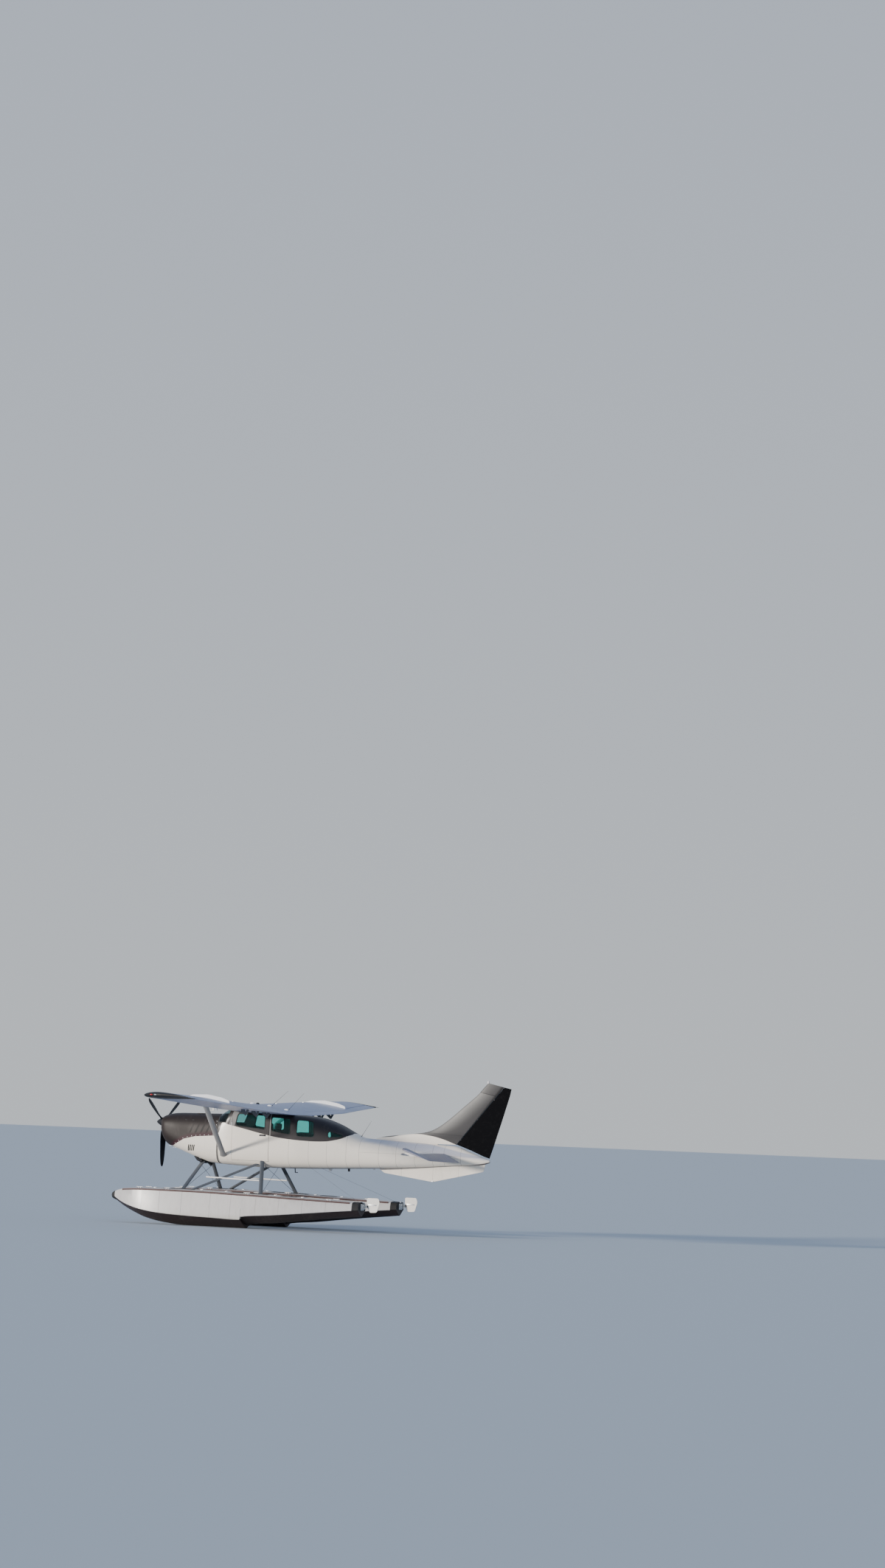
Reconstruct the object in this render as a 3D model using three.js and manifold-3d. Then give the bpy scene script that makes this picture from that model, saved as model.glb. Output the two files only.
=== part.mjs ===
// A six-seat, high-wing utility aircraft on two floats, at its real size in millimetres.
// +X is forward, +Y is to port and +Z is up. The origin is on the floor, under the middle of
// the aircraft's length. Stations are measured aft from the spinner's tip, heights from the keels.
import * as THREE from 'three';
import { mergeVertices } from 'three/addons/utils/BufferGeometryUtils.js';
import Module from 'manifold-3d';

const wasm = await Module();
wasm.setup();

// Driving dimensions
const spinnerTipX = 4050;
const halfSpan = 5480;
const propellerRadius = 1016;
const shaftHeight = 2285;
const seam = 0.3;
const cabinWall = 30;
const cowlWall = 12;
const coneWall = 20;
const firewallStation = 1740;
const cabinStart = 1775;
const cabinEnd = 5170;
const coneEnd = 8140;
const wingRootY = 575;
const floatCentreY = 1170;
const doorGap = 5;
const dihedral = THREE.MathUtils.degToRad(2.1);
const elevatorDroop = THREE.MathUtils.degToRad(20);

const finishes = {
  cream: { color: 0xe9e4dc, roughness: 0.35, metalness: 0 },
  white: { color: 0xf2f2f0, roughness: 0.35, metalness: 0 },
  charcoal: { color: 0x3a3230, roughness: 0.3, metalness: 0.2 },
  graphite: { color: 0x4a4a4e, roughness: 0.35, metalness: 0.3 },
  black: { color: 0x0c0c0e, roughness: 0.3, metalness: 0 },
  glass: { color: 0x5fa9a2, roughness: 0.05, metalness: 0 },
  paleGrey: { color: 0xa9acad, roughness: 0.4, metalness: 0.2 },
  alloy: { color: 0xb4b6b8, roughness: 0.35, metalness: 0.8 },
  rubber: { color: 0x141414, roughness: 0.8, metalness: 0 },
  leather: { color: 0x3b3a3d, roughness: 0.6, metalness: 0 },
  carpet: { color: 0x2b2b2e, roughness: 0.9, metalness: 0 },
};

const aircraft = new THREE.Group();

const at = (station, y, height) => new THREE.Vector3(spinnerTipX - station, y, height);

// Solids: closed geometries and what joins or cuts them

function signedVolume(geometry) {
  const { array } = geometry.attributes.position;
  const corners = [new THREE.Vector3(), new THREE.Vector3(), new THREE.Vector3()];
  let volume = 0;
  for (let i = 0; i < geometry.index.count; i += 3) {
    corners.forEach((corner, k) => corner.fromArray(array, geometry.index.array[i + k] * 3));
    volume += corners[0].dot(corners[1].cross(corners[2])) / 6;
  }
  return volume;
}

function outward(geometry) {
  if (signedVolume(geometry) < 0) {
    const flipped = geometry.index.array;
    for (let i = 0; i < flipped.length; i += 3) {
      [flipped[i + 1], flipped[i + 2]] = [flipped[i + 2], flipped[i + 1]];
    }
  }
  return geometry;
}

function solidOf(geometry) {
  const bare = geometry.clone();
  bare.deleteAttribute('normal');
  bare.deleteAttribute('uv');
  const merged = outward(mergeVertices(bare, 1e-3));
  return new wasm.Manifold(new wasm.Mesh({
    numProp: 3,
    vertProperties: new Float32Array(merged.attributes.position.array),
    triVerts: new Uint32Array(merged.index.array),
  }));
}

function geometryOf(solid) {
  const { vertProperties, triVerts } = solid.getMesh();
  const geometry = new THREE.BufferGeometry();
  geometry.setAttribute('position', new THREE.BufferAttribute(new Float32Array(vertProperties), 3));
  geometry.setIndex(new THREE.BufferAttribute(new Uint32Array(triVerts), 1));
  return geometry;
}

const joined = (...solids) => solids.reduce((whole, solid) => whole.add(solid));
const cut = (solid, ...tools) => tools.reduce((rest, tool) => rest.subtract(tool), solid);
const common = (...solids) => solids.reduce((whole, solid) => whole.intersect(solid));
const largest = (solid) => solid.decompose()
  .reduce((best, body) => (body.volume() > best.volume() ? body : best));

function toStarboard(solid) {
  const geometry = geometryOf(solid);
  geometry.scale(1, -1, 1);
  return solidOf(geometry);
}

function add(name, solid, finish) {
  const mesh = new THREE.Mesh(geometryOf(solid), new THREE.MeshStandardMaterial(finishes[finish]));
  mesh.name = name;
  aircraft.add(mesh);
}

function addPair(name, portSolid, finish) {
  add(`${name}_left`, portSolid, finish);
  add(`${name}_right`, toStarboard(portSolid), finish);
}

// Skins equal rings of points, one after another, and closes each end with a fan.
function loft(rings) {
  const count = rings[0].length;
  const points = rings.flat();
  const index = [];
  for (let r = 0; r + 1 < rings.length; r += 1) {
    for (let i = 0; i < count; i += 1) {
      const a = r * count + i;
      const b = r * count + ((i + 1) % count);
      index.push(a, b, b + count, a, b + count, a + count);
    }
  }
  for (const ring of [0, rings.length - 1]) {
    const middle = points.length;
    const centre = new THREE.Vector3();
    rings[ring].forEach((point) => centre.addScaledVector(point, 1 / count));
    points.push(centre);
    for (let i = 0; i < count; i += 1) {
      const a = ring * count + i;
      const b = ring * count + ((i + 1) % count);
      index.push(...(ring === 0 ? [middle, b, a] : [middle, a, b]));
    }
  }
  const geometry = new THREE.BufferGeometry().setFromPoints(points);
  geometry.setIndex(index);
  return solidOf(geometry);
}

function block(stations, ys, heights) {
  const size = [stations, ys, heights].map(([low, high]) => high - low);
  const geometry = new THREE.BoxGeometry(...size);
  const middle = at((stations[0] + stations[1]) / 2, (ys[0] + ys[1]) / 2, (heights[0] + heights[1]) / 2);
  geometry.translate(middle.x, middle.y, middle.z);
  return solidOf(geometry);
}

// Extrudes a side-view outline of [station, height] pairs from one y to another.
function sidePrism(outline, yLow, yHigh) {
  const shape = new THREE.Shape(outline.map(([s, h]) => new THREE.Vector2(spinnerTipX - s, h)));
  const geometry = new THREE.ExtrudeGeometry(shape, { depth: yHigh - yLow, bevelEnabled: false });
  geometry.rotateX(Math.PI / 2);
  geometry.translate(0, yHigh, 0);
  return solidOf(geometry);
}

// Rounds each corner of a closed outline with a short curve of the given reach.
function softened(outline, reach, steps = 3) {
  const corners = outline.map(([s, h]) => new THREE.Vector2(s, h));
  return corners.flatMap((corner, i) => {
    const before = corners.at(i - 1).clone().sub(corner).setLength(reach).add(corner);
    const after = corners[(i + 1) % corners.length].clone().sub(corner).setLength(reach).add(corner);
    const bend = new THREE.QuadraticBezierCurve(before, corner, after);
    return bend.getPoints(steps).map((point) => [point.x, point.y]);
  });
}

// A cylinder or cone from one point to another.
function rod(from, to, radius, endRadius = radius, sides = 16) {
  const along = to.clone().sub(from);
  const geometry = new THREE.CylinderGeometry(endRadius, radius, along.length(), sides);
  geometry.translate(0, along.length() / 2, 0);
  geometry.applyQuaternion(new THREE.Quaternion().setFromUnitVectors(
    new THREE.Vector3(0, 1, 0), along.normalize()));
  geometry.translate(from.x, from.y, from.z);
  return solidOf(geometry);
}

// A streamlined tube of lens section, its chord lying fore and aft.
function strut(from, to, chord, thickness) {
  const sides = 16;
  const along = to.clone().sub(from).normalize();
  const forward = new THREE.Vector3(1, 0, 0).addScaledVector(along, -along.x).normalize();
  const across = new THREE.Vector3().crossVectors(along, forward);
  const rings = [from, to].map((end) => Array.from({ length: sides }, (_, i) => {
    const angle = (i / sides) * Math.PI * 2;
    const swell = 1 + 0.25 * Math.cos(angle);
    return end.clone()
      .addScaledVector(forward, (chord / 2) * Math.cos(angle))
      .addScaledVector(across, (thickness / 2) * Math.sin(angle) * swell);
  }));
  return loft(rings);
}

// Fuselage: every section is two half superellipses that meet at the widest line

const sectionColumns = ['station', 'halfWidth', 'bottom', 'top', 'waist', 'squareTop', 'squareBottom'];
const readRow = (columns, row) => Object.fromEntries(columns.map((column, i) => [column, row[i]]));

const hullRows = [
  [1740, 524, 1392, 2530, 1950, 3.6, 3.8],
  [1900, 544, 1382, 2622, 1930, 4.5, 4.0],
  [2060, 556, 1375, 2672, 1900, 6.5, 4.0],
  [2400, 564, 1362, 2650, 1880, 8.0, 4.0],
  [2950, 567, 1352, 2612, 1880, 8.0, 4.0],
  [3600, 563, 1361, 2562, 1880, 7.0, 4.0],
  [4030, 528, 1373, 2528, 1870, 4.8, 3.8],
  [4470, 480, 1390, 2410, 1840, 3.4, 3.6],
  [4920, 425, 1411, 2205, 1800, 2.8, 3.4],
  [5170, 397, 1422, 2112, 1790, 2.6, 3.2],
  [5650, 345, 1446, 2088, 1785, 2.5, 3.0],
  [6400, 265, 1497, 2054, 1790, 2.4, 2.8],
  [7000, 201, 1545, 2026, 1795, 2.4, 2.6],
  [7340, 165, 1572, 2008, 1800, 2.3, 2.5],
  [7700, 125, 1598, 1888, 1762, 2.3, 2.4],
  [8000, 84, 1624, 1782, 1716, 2.2, 2.2],
  [8140, 40, 1672, 1738, 1706, 2.0, 2.0],
].map((row) => readRow(sectionColumns, row));

const cowlRows = [
  [216, 172, 2183, 2390, 2286, 2.2, 2.2],
  [240, 285, 2060, 2412, 2262, 2.4, 2.4],
  [300, 392, 1900, 2442, 2215, 2.7, 2.5],
  [390, 446, 1782, 2470, 2170, 2.9, 2.6],
  [520, 470, 1728, 2498, 2120, 3.1, 2.8],
  [670, 486, 1682, 2510, 2070, 3.2, 3.0],
  [900, 500, 1602, 2516, 2020, 3.3, 3.2],
  [1230, 511, 1487, 2520, 1975, 3.4, 3.4],
  [1500, 518, 1414, 2524, 1955, 3.5, 3.6],
  [firewallStation - seam, 524, 1392, 2530, 1950, 3.6, 3.8],
].map((row) => readRow(sectionColumns, row));

function rowAt(rows, station) {
  const after = Math.max(1, rows.findIndex((row) => row.station >= station));
  const [low, high] = [rows[after - 1], rows[after]];
  const share = (station - low.station) / (high.station - low.station);
  return Object.fromEntries(sectionColumns.map((column) => [
    column, THREE.MathUtils.lerp(low[column], high[column], share)]));
}

function sectionRing(row, grow, sides) {
  return Array.from({ length: sides }, (_, i) => {
    const angle = ((i + 0.5) / sides) * Math.PI * 2;
    const [side, rise] = [Math.cos(angle), Math.sin(angle)];
    const power = 2 / (rise > 0 ? row.squareTop : row.squareBottom);
    const reach = (rise > 0 ? row.top - row.waist : row.waist - row.bottom) + grow;
    return at(
      row.station,
      (row.halfWidth + grow) * Math.sign(side) * Math.abs(side) ** power,
      row.waist + reach * Math.sign(rise) * Math.abs(rise) ** power);
  });
}

// The hull's shape between two stations, grown or shrunk by a skin.
function sectionSolid(rows, start, end, grow = 0, sides = 32) {
  const inside = rows.filter((row) => row.station > start + 1 && row.station < end - 1);
  const used = [rowAt(rows, start), ...inside, rowAt(rows, end)];
  return loft(used.map((row) => sectionRing(row, grow, sides)));
}

// Wings and tail surfaces: four-figure sections of given thickness and camber

const chordSteps = 8;

function airfoilRing(place, { leading, height, chord, incidence, thickness, camber }, grow = 0) {
  const crest = 0.4;
  const ring = [];
  for (let i = -chordSteps; i <= chordSteps; i += 1) {
    const share = (1 - Math.cos((Math.PI * i) / chordSteps)) / 2;
    const half = 5 * thickness * (0.2969 * Math.sqrt(share) - 0.126 * share - 0.3516 * share ** 2
      + 0.2843 * share ** 3 - 0.099 * share ** 4);
    const line = share < crest
      ? (camber / crest ** 2) * (2 * crest * share - share ** 2)
      : (camber / (1 - crest) ** 2) * (1 - 2 * crest + 2 * crest * share - share ** 2);
    const side = i < 0 ? -1 : 1;
    const rise = chord * (line + side * half) + side * grow;
    if (i !== 0) {
      ring.push([share, rise]);
    } else {
      ring.push([-grow / chord, 0]);
    }
  }
  const angle = THREE.MathUtils.degToRad(incidence);
  return ring.map(([share, rise]) => place(
    leading + chord * share * Math.cos(angle) + rise * Math.sin(angle),
    height - chord * share * Math.sin(angle) + rise * Math.cos(angle)));
}

const wingColumns = ['y', 'leading', 'height', 'chord', 'incidence', 'thickness', 'camber'];
const wingRows = [
  [wingRootY, 1950, 2685, 1650, 4.3, 0.12, 0.02],
  [2540, 1950, 2757, 1640, 4.0, 0.12, 0.02],
  [5280, 2110, 2857, 1170, 2.2, 0.12, 0.02],
  [5370, 2150, 2862, 1115, 2.2, 0.108, 0.02],
  [5440, 2230, 2868, 1010, 2.2, 0.085, 0.02],
  [halfSpan, 2340, 2874, 860, 2.2, 0.04, 0.015],
].map((row) => readRow(wingColumns, row));

const spanLoft = (rows, grow = 0) => loft(rows.map((row) => airfoilRing(
  (station, height) => at(station, row.y, height), row, grow)));

const hull = sectionSolid(hullRows, firewallStation, coneEnd);
const hullWithSeam = sectionSolid(hullRows, firewallStation - 200, coneEnd, seam);
const fullWing = spanLoft(wingRows);
const wingWithSeam = spanLoft(wingRows, seam);

// A prism whose front comes to a blunt edge on a hinge line, so that the surface behind the line
// turns clear of what is in front of it. The opening is the cut in front, a little ahead of it.
const noseSlope = Math.tan(THREE.MathUtils.degToRad(27));
const coveGap = 6;

function behindHinge(start, end, up, halfDepth, front = 0) {
  const along = end.clone().sub(start).normalize();
  const aft = new THREE.Vector3().crossVectors(along, up).normalize();
  if (aft.x > 0) {
    aft.negate();
  }
  const rise = new THREE.Vector3().crossVectors(aft, along).normalize();
  const shoulder = front < 0 ? front : halfDepth * noseSlope;
  const outline = [[front, 0], [shoulder, 1], [1600, 1], [1600, -1], [shoulder, -1]];
  return loft([start, end].map((point) => outline.map(([back, side]) => point.clone()
    .addScaledVector(aft, back)
    .addScaledVector(rise, side * halfDepth))));
}

// Hinge lugs: discs on a hinge line that stand on the fixed surface, in slots of the moving one.
const lugThickness = 16;
const lugRadius = 14;
const lugSides = 10;

function lugs(start, end, shares, forward, reach) {
  const along = end.clone().sub(start).normalize();
  return shares.map((share) => {
    const centre = start.clone().lerp(end, share);
    const half = along.clone().multiplyScalar(lugThickness / 2);
    const disc = rod(centre.clone().sub(half), centre.clone().add(half), lugRadius, lugRadius, lugSides);
    const stem = rod(
      centre.clone().sub(half).addScaledVector(forward, reach / 2),
      centre.clone().add(half).addScaledVector(forward, reach / 2), lugRadius * 0.9, lugRadius * 0.9, lugSides);
    return joined(disc, stem);
  });
}

function lugSlots(start, end, shares) {
  const along = end.clone().sub(start).normalize();
  const half = along.clone().multiplyScalar(lugThickness / 2 + seam);
  return shares.map((share) => {
    const centre = start.clone().lerp(end, share);
    return rod(centre.clone().sub(half), centre.clone().add(half), lugRadius + 12, lugRadius + 12, lugSides);
  });
}

// Openings in the cabin's skin, as side-view outlines

const windowOutlines = {
  first: [[2205, 2275], [2262, 2540], [2930, 2518], [2930, 2208]],
  second: [[3090, 2180], [3090, 2492], [3550, 2470], [3550, 2118]],
  third: [[3705, 2085], [3705, 2452], [4080, 2430], [4120, 2080]],
  fourth: [[4430, 2085], [4430, 2225], [4600, 2196], [4805, 2120]],
};
const windshieldOutline = [
  [cabinStart, 2340], [1950, 2340], [2062, 2590], [2050, 2800], [cabinStart, 2800]];
const roofOutline = [
  [cabinStart, 2900], [cabinStart, 2588], [2060, 2588], [3600, 2520], [4030, 2488], [4470, 2362], [4920, 2155],
  [cabinEnd + 10, 2070], [cabinEnd + 10, 2900]];
const doorOutlines = {
  pilot: [[2120, 1495], [2120, 2566], [3040, 2540], [3040, 1495]],
  cargoFront: [[3022, 1495], [3022, 2536], [3617, 2500], [3617, 1495]],
  cargoRear: [[3627, 1495], [3627, 2500], [4158, 2425], [4158, 1495]],
};
const glassDepth = [4, 12];
const sillCorner = 45;

// Moves every side of a convex outline inwards by the margin.
function shrunk(outline, margin) {
  const corners = outline.map(([s, h]) => new THREE.Vector2(s, h));
  const inwards = THREE.ShapeUtils.isClockWise(corners) ? -1 : 1;
  const normals = corners.map((corner, i) => {
    const side = corners[(i + 1) % corners.length].clone().sub(corner).normalize();
    return new THREE.Vector2(-side.y * inwards, side.x * inwards);
  });
  return corners.map((corner, i) => {
    const [before, after] = [normals.at(i - 1), normals[i]];
    const inset = before.clone().add(after).multiplyScalar(margin / (1 + before.dot(after)));
    return corner.clone().add(inset).toArray();
  });
}

const cabinInner = sectionSolid(hullRows, firewallStation, cabinEnd + 60, -cabinWall);
const cabinTube = common(
  cut(sectionSolid(hullRows, cabinStart, cabinEnd), cabinInner),
  block([cabinStart, cabinEnd], [-700, 700], [1300, 2800]));
const glassShell = cut(
  sectionSolid(hullRows, cabinStart, cabinEnd, -glassDepth[0]),
  sectionSolid(hullRows, firewallStation, cabinEnd + 60, -glassDepth[1]));

const overSide = (outline, side) => sidePrism(outline, side > 0 ? 100 : -700, side > 0 ? 700 : -100);
const windowHole = (name, side) => overSide(softened(windowOutlines[name], sillCorner), side);

function addWindows(side, label) {
  for (const [name, outline] of Object.entries(windowOutlines)) {
    const pane = overSide(softened(shrunk(outline, seam), sillCorner), side);
    add(`window_${name}_${label}`, common(glassShell, pane), 'glass');
  }
}

// Doors: a panel of the wall with knuckles on its hinge line, and the notches they need

const knuckleRadius = 12;
const knuckleHeight = 44;

function knuckles(axis, side) {
  const pairs = axis.heights.map((height) => {
    const post = (low, high, radius) => rod(
      at(axis.station, side * axis.y, low), at(axis.station, side * axis.y, high), radius);
    return {
      fixed: post(height, height + knuckleHeight, knuckleRadius),
      fixedNotch: post(height - seam, height + knuckleHeight + seam, knuckleRadius + doorGap),
      moving: post(height + knuckleHeight + seam, height + 2 * knuckleHeight, knuckleRadius),
      movingNotch: post(height + knuckleHeight, height + 2 * knuckleHeight + seam, knuckleRadius + doorGap),
    };
  });
  return {
    fixed: pairs.map((pair) => pair.fixed),
    moving: pairs.map((pair) => pair.moving),
    fixedNotches: pairs.map((pair) => pair.fixedNotch),
    movingNotches: pairs.map((pair) => pair.movingNotch),
  };
}

const doorHinges = {
  pilot: { station: 2116, y: 562, heights: [1740, 2190] },
  cargoFront: { station: 3018, y: 573, heights: [1740, 2140] },
  cargoRear: { station: 4162, y: 521, heights: [1700, 2000] },
};

function doorParts(name, side, windowName) {
  const outline = doorOutlines[name];
  const hinge = knuckles(doorHinges[name], side);
  const panel = common(cabinTube, overSide(shrunk(outline, doorGap), side));
  const leaf = cut(panel, windowHole(windowName, side), ...hinge.fixedNotches);
  return {
    leaf: joined(leaf, ...hinge.moving),
    hole: overSide(outline, side),
    fixed: hinge.fixed,
    notches: hinge.movingNotches,
  };
}

function addCabin() {
  add('firewall', common(hull, block([firewallStation, cabinStart - seam], [-700, 700], [1300, 2800])), 'paleGrey');
  const windshieldHole = sidePrism(windshieldOutline, -700, 700);
  const pane = sidePrism(shrunk(windshieldOutline, seam), -700, 700);
  add('windshield', common(glassShell, pane), 'glass');

  const roofCut = sidePrism(roofOutline, -700, 700);
  const beltHeight = 1450;
  const roofSeam = sidePrism(roofOutline.map(([s, h], i) => [s, i === 0 || i > 7 ? h : h - seam]), -700, 700);
  add('cabin_roof', cut(common(cabinTube, roofCut), windshieldHole), 'cream');
  add('cabin_belly', common(cabinTube, block([1700, 5300], [-700, 700], [1300, beltHeight])), 'cream');

  const between = block([1700, 5300], [-700, 700], [beltHeight + seam, 2900]);
  const wall = cut(common(cabinTube, between), roofSeam, windshieldHole);
  const pilot = doorParts('pilot', 1, 'first');
  const cargoFront = doorParts('cargoFront', -1, 'second');
  const cargoRear = doorParts('cargoRear', -1, 'third');

  const port = cut(common(wall, block([1700, 5300], [0, 700], [1300, 2900])),
    pilot.hole, ...['second', 'third', 'fourth'].map((name) => windowHole(name, 1)), ...pilot.notches);
  add('cabin_side_left', joined(port, ...pilot.fixed), 'cream');
  const starboard = cut(common(wall, block([1700, 5300], [-700, 0], [1300, 2900])),
    cargoFront.hole, cargoRear.hole, ...['first', 'fourth'].map((name) => windowHole(name, -1)),
    ...cargoFront.notches, ...cargoRear.notches);
  add('cabin_side_right', joined(starboard, ...cargoFront.fixed, ...cargoRear.fixed), 'cream');

  add('door_pilot', pilot.leaf, 'cream');
  add('door_cargo_front', cargoFront.leaf, 'cream');
  add('door_cargo_rear', cargoRear.leaf, 'cream');
  addWindows(1, 'left');
  addWindows(-1, 'right');
}

// Cabin fittings

const floorTop = 1520;
const sillGap = 9;

function addInterior() {
  const room = sectionSolid(hullRows, firewallStation, cabinEnd + 60, -cabinWall - seam);
  const clearRoom = sectionSolid(hullRows, firewallStation, cabinEnd + 60, -cabinWall - sillGap);
  const slab = block([cabinStart, 4900], [-700, 700], [floorTop - 25, floorTop]);
  const doorways = [block([2100, 3055], [0, 700], [1400, 1600]), block([3005, 4175], [-700, 0], [1400, 1600])];
  add('cabin_floor', joined(common(clearRoom, slab), cut(common(room, slab), ...doorways)), 'carpet');
  const panel = block([1850, 1930], [-700, 700], [1960, 2330]);
  const pedestal = block([1860, 1925], [-140, 140], [floorTop + seam, 1970]);
  add('instrument_panel', common(room, joined(panel, pedestal)), 'black');

  const seatColumns = ['name', 'front', 'centre', 'halfWidth', 'backTop'];
  const seats = [
    ['seat_pilot', 2330, 255, 215, 2230],
    ['seat_copilot', 2330, -255, 215, 2230],
    ['bench_middle', 3130, 0, 450, 2180],
    ['bench_rear', 3880, 0, 400, 2080],
  ].map((row) => readRow(seatColumns, row));
  for (const { name, front, centre, halfWidth, backTop } of seats) {
    const low = centre - halfWidth;
    const high = centre + halfWidth;
    const pan = softened([[front, 1760], [front, 1880], [front + 470, 1860], [front + 470, 1760]], 35);
    const back = softened([[front + 400, 1770], [front + 520, backTop], [front + 610, backTop], [front + 500, 1770]], 35);
    const base = block([front + 60, front + 420], [low + 30, high - 30], [floorTop + seam, 1790]);
    add(name, joined(sidePrism(pan, low, high), sidePrism(back, low, high), base), 'leather');
  }
}

// Nose: cowls, engine, propeller

function addNose() {
  const outer = sectionSolid(cowlRows, cowlRows[0].station, firewallStation - seam, 0);
  const inner = sectionSolid(cowlRows, cowlRows[0].station + cowlWall, firewallStation - seam, -cowlWall);
  const shaftHole = rod(at(150, 0, shaftHeight), at(300, 0, shaftHeight), 60);
  const inlet = (side) => sidePrism(softened([[100, 2225], [100, 2355], [420, 2355], [420, 2225]], 30),
    side > 0 ? 150 : -330, side > 0 ? 330 : -150);
  const shell = cut(
    common(cut(outer, inner), block([200, firewallStation - seam], [-700, 700], [1300, 2700])),
    block([firewallStation - cowlWall * 3, 1900], [-480, 480], [1450, 2460]),
    shaftHole, inlet(1), inlet(-1));
  const paintEdge = [[150, 1860], [300, 1790], [430, 1690], [680, 1800], [930, 1930], [1200, 1990], [1760, 2030]];
  const above = [...paintEdge, [1760, 2800], [150, 2800]];
  const below = [...paintEdge.map(([s, h]) => [s, h - 2 * seam]), [1760, 1200], [150, 1200]];
  add('cowl_upper', common(shell, sidePrism(above, -700, 700)), 'charcoal');
  add('cowl_lower', common(shell, sidePrism(below, -700, 700)), 'cream');

  const crankcase = block([530, 1380], [-400, 400], [2020, 2360]);
  const shaft = rod(at(208 + seam, 0, shaftHeight), at(600, 0, shaftHeight), 45);
  const mounts = [[-300, 2340], [300, 2340], [-300, 2060], [300, 2060]].map(([y, height]) => rod(
    at(1300, y, height), at(firewallStation - seam, y, height), 18));
  add('engine_block', joined(crankcase, shaft, ...mounts), 'graphite');

  const spinnerBack = 120;
  const spinnerShape = [[0, 0], [22, 14], [45, 40], [64, 70], [88, spinnerBack - seam], [0, spinnerBack - seam]];
  const spinner = new THREE.LatheGeometry(spinnerShape.map(([r, s]) => new THREE.Vector2(r, s)), 28);
  spinner.rotateZ(Math.PI / 2);
  spinner.translate(spinnerTipX, 0, shaftHeight);
  add('spinner', solidOf(spinner), 'black');

  const hubShape = [[0, spinnerBack], [88, spinnerBack], [108, 165], [114, 208], [0, 208]];
  const hub = new THREE.LatheGeometry(hubShape.map(([r, s]) => new THREE.Vector2(r, s)), 28);
  hub.rotateZ(Math.PI / 2);
  hub.translate(spinnerTipX, 0, shaftHeight);
  const bladeColumns = ['radius', 'chord', 'thickness', 'pitch'];
  const bladeRows = [
    [60, 62, 58, 62],
    [150, 78, 50, 50],
    [260, 134, 32, 37],
    [460, 162, 23, 25],
    [720, 156, 16, 17],
    [900, 130, 11, 13],
    [985, 90, 8, 11],
    [propellerRadius, 36, 5, 10],
  ].map((row) => readRow(bladeColumns, row));
  const bladeStation = 170;
  const bladeSides = 10;
  const blades = [180, 60, -60].map((fromTop) => {
    const rings = bladeRows.map(({ radius, chord, thickness, pitch }) => {
      const turn = THREE.MathUtils.degToRad(pitch);
      return Array.from({ length: bladeSides }, (_, i) => {
        const angle = (i / bladeSides) * Math.PI * 2;
        const along = (chord / 2) * Math.cos(angle);
        const deep = (thickness / 2) * Math.sin(angle);
        return new THREE.Vector3(
          -along * Math.sin(turn) + deep * Math.cos(turn),
          along * Math.cos(turn) + deep * Math.sin(turn),
          radius);
      });
    });
    return rings.map((ring) => ring.map((point) => point
      .applyAxisAngle(new THREE.Vector3(1, 0, 0), THREE.MathUtils.degToRad(fromTop))
      .add(at(bladeStation, 0, shaftHeight))));
  });
  add('propeller', joined(solidOf(hub), ...blades.map(loft)), 'black');

  const cowlSeam = sectionSolid(cowlRows, cowlRows[0].station, firewallStation - seam, seam);
  const fitting = softened([[1225, 1390], [1250, 1520], [1400, 1480], [1390, 1390]], 18);
  const stack = rod(at(1215, -150, 1480), at(1345, -150, 1350), 38);
  add('front_gear_fitting', cut(joined(sidePrism(fitting, -250, 250), stack), cowlSeam), 'black');
}

// Wings: the middle over the cabin, and each side with its tip, flap, aileron, fence and strut

const flapSpan = [620, 3275];
const flapFace = [[3056, 2400], [3600, 2800]];
const flapGap = 8;
const rise = (y) => (y - wingRootY) * Math.tan(dihedral);

// As sidePrism, for a convex outline at the wing's root, and climbing outboard with the wing.
const raisedPrism = (outline, yLow, yHigh) => loft([yLow, yHigh].map(
  (y) => outline.map(([s, h]) => at(s, y, h + rise(y)))));
const aileronSpan = [3465, 5215];
const fenceY = [3302, 3440];

const aileronHinge = {
  start: at(3262, aileronSpan[0] - 4, 2728),
  end: at(3030, aileronSpan[1] + 4, 2832),
};
const flapHinge = { station: 3280, height: 2450 };

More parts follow.
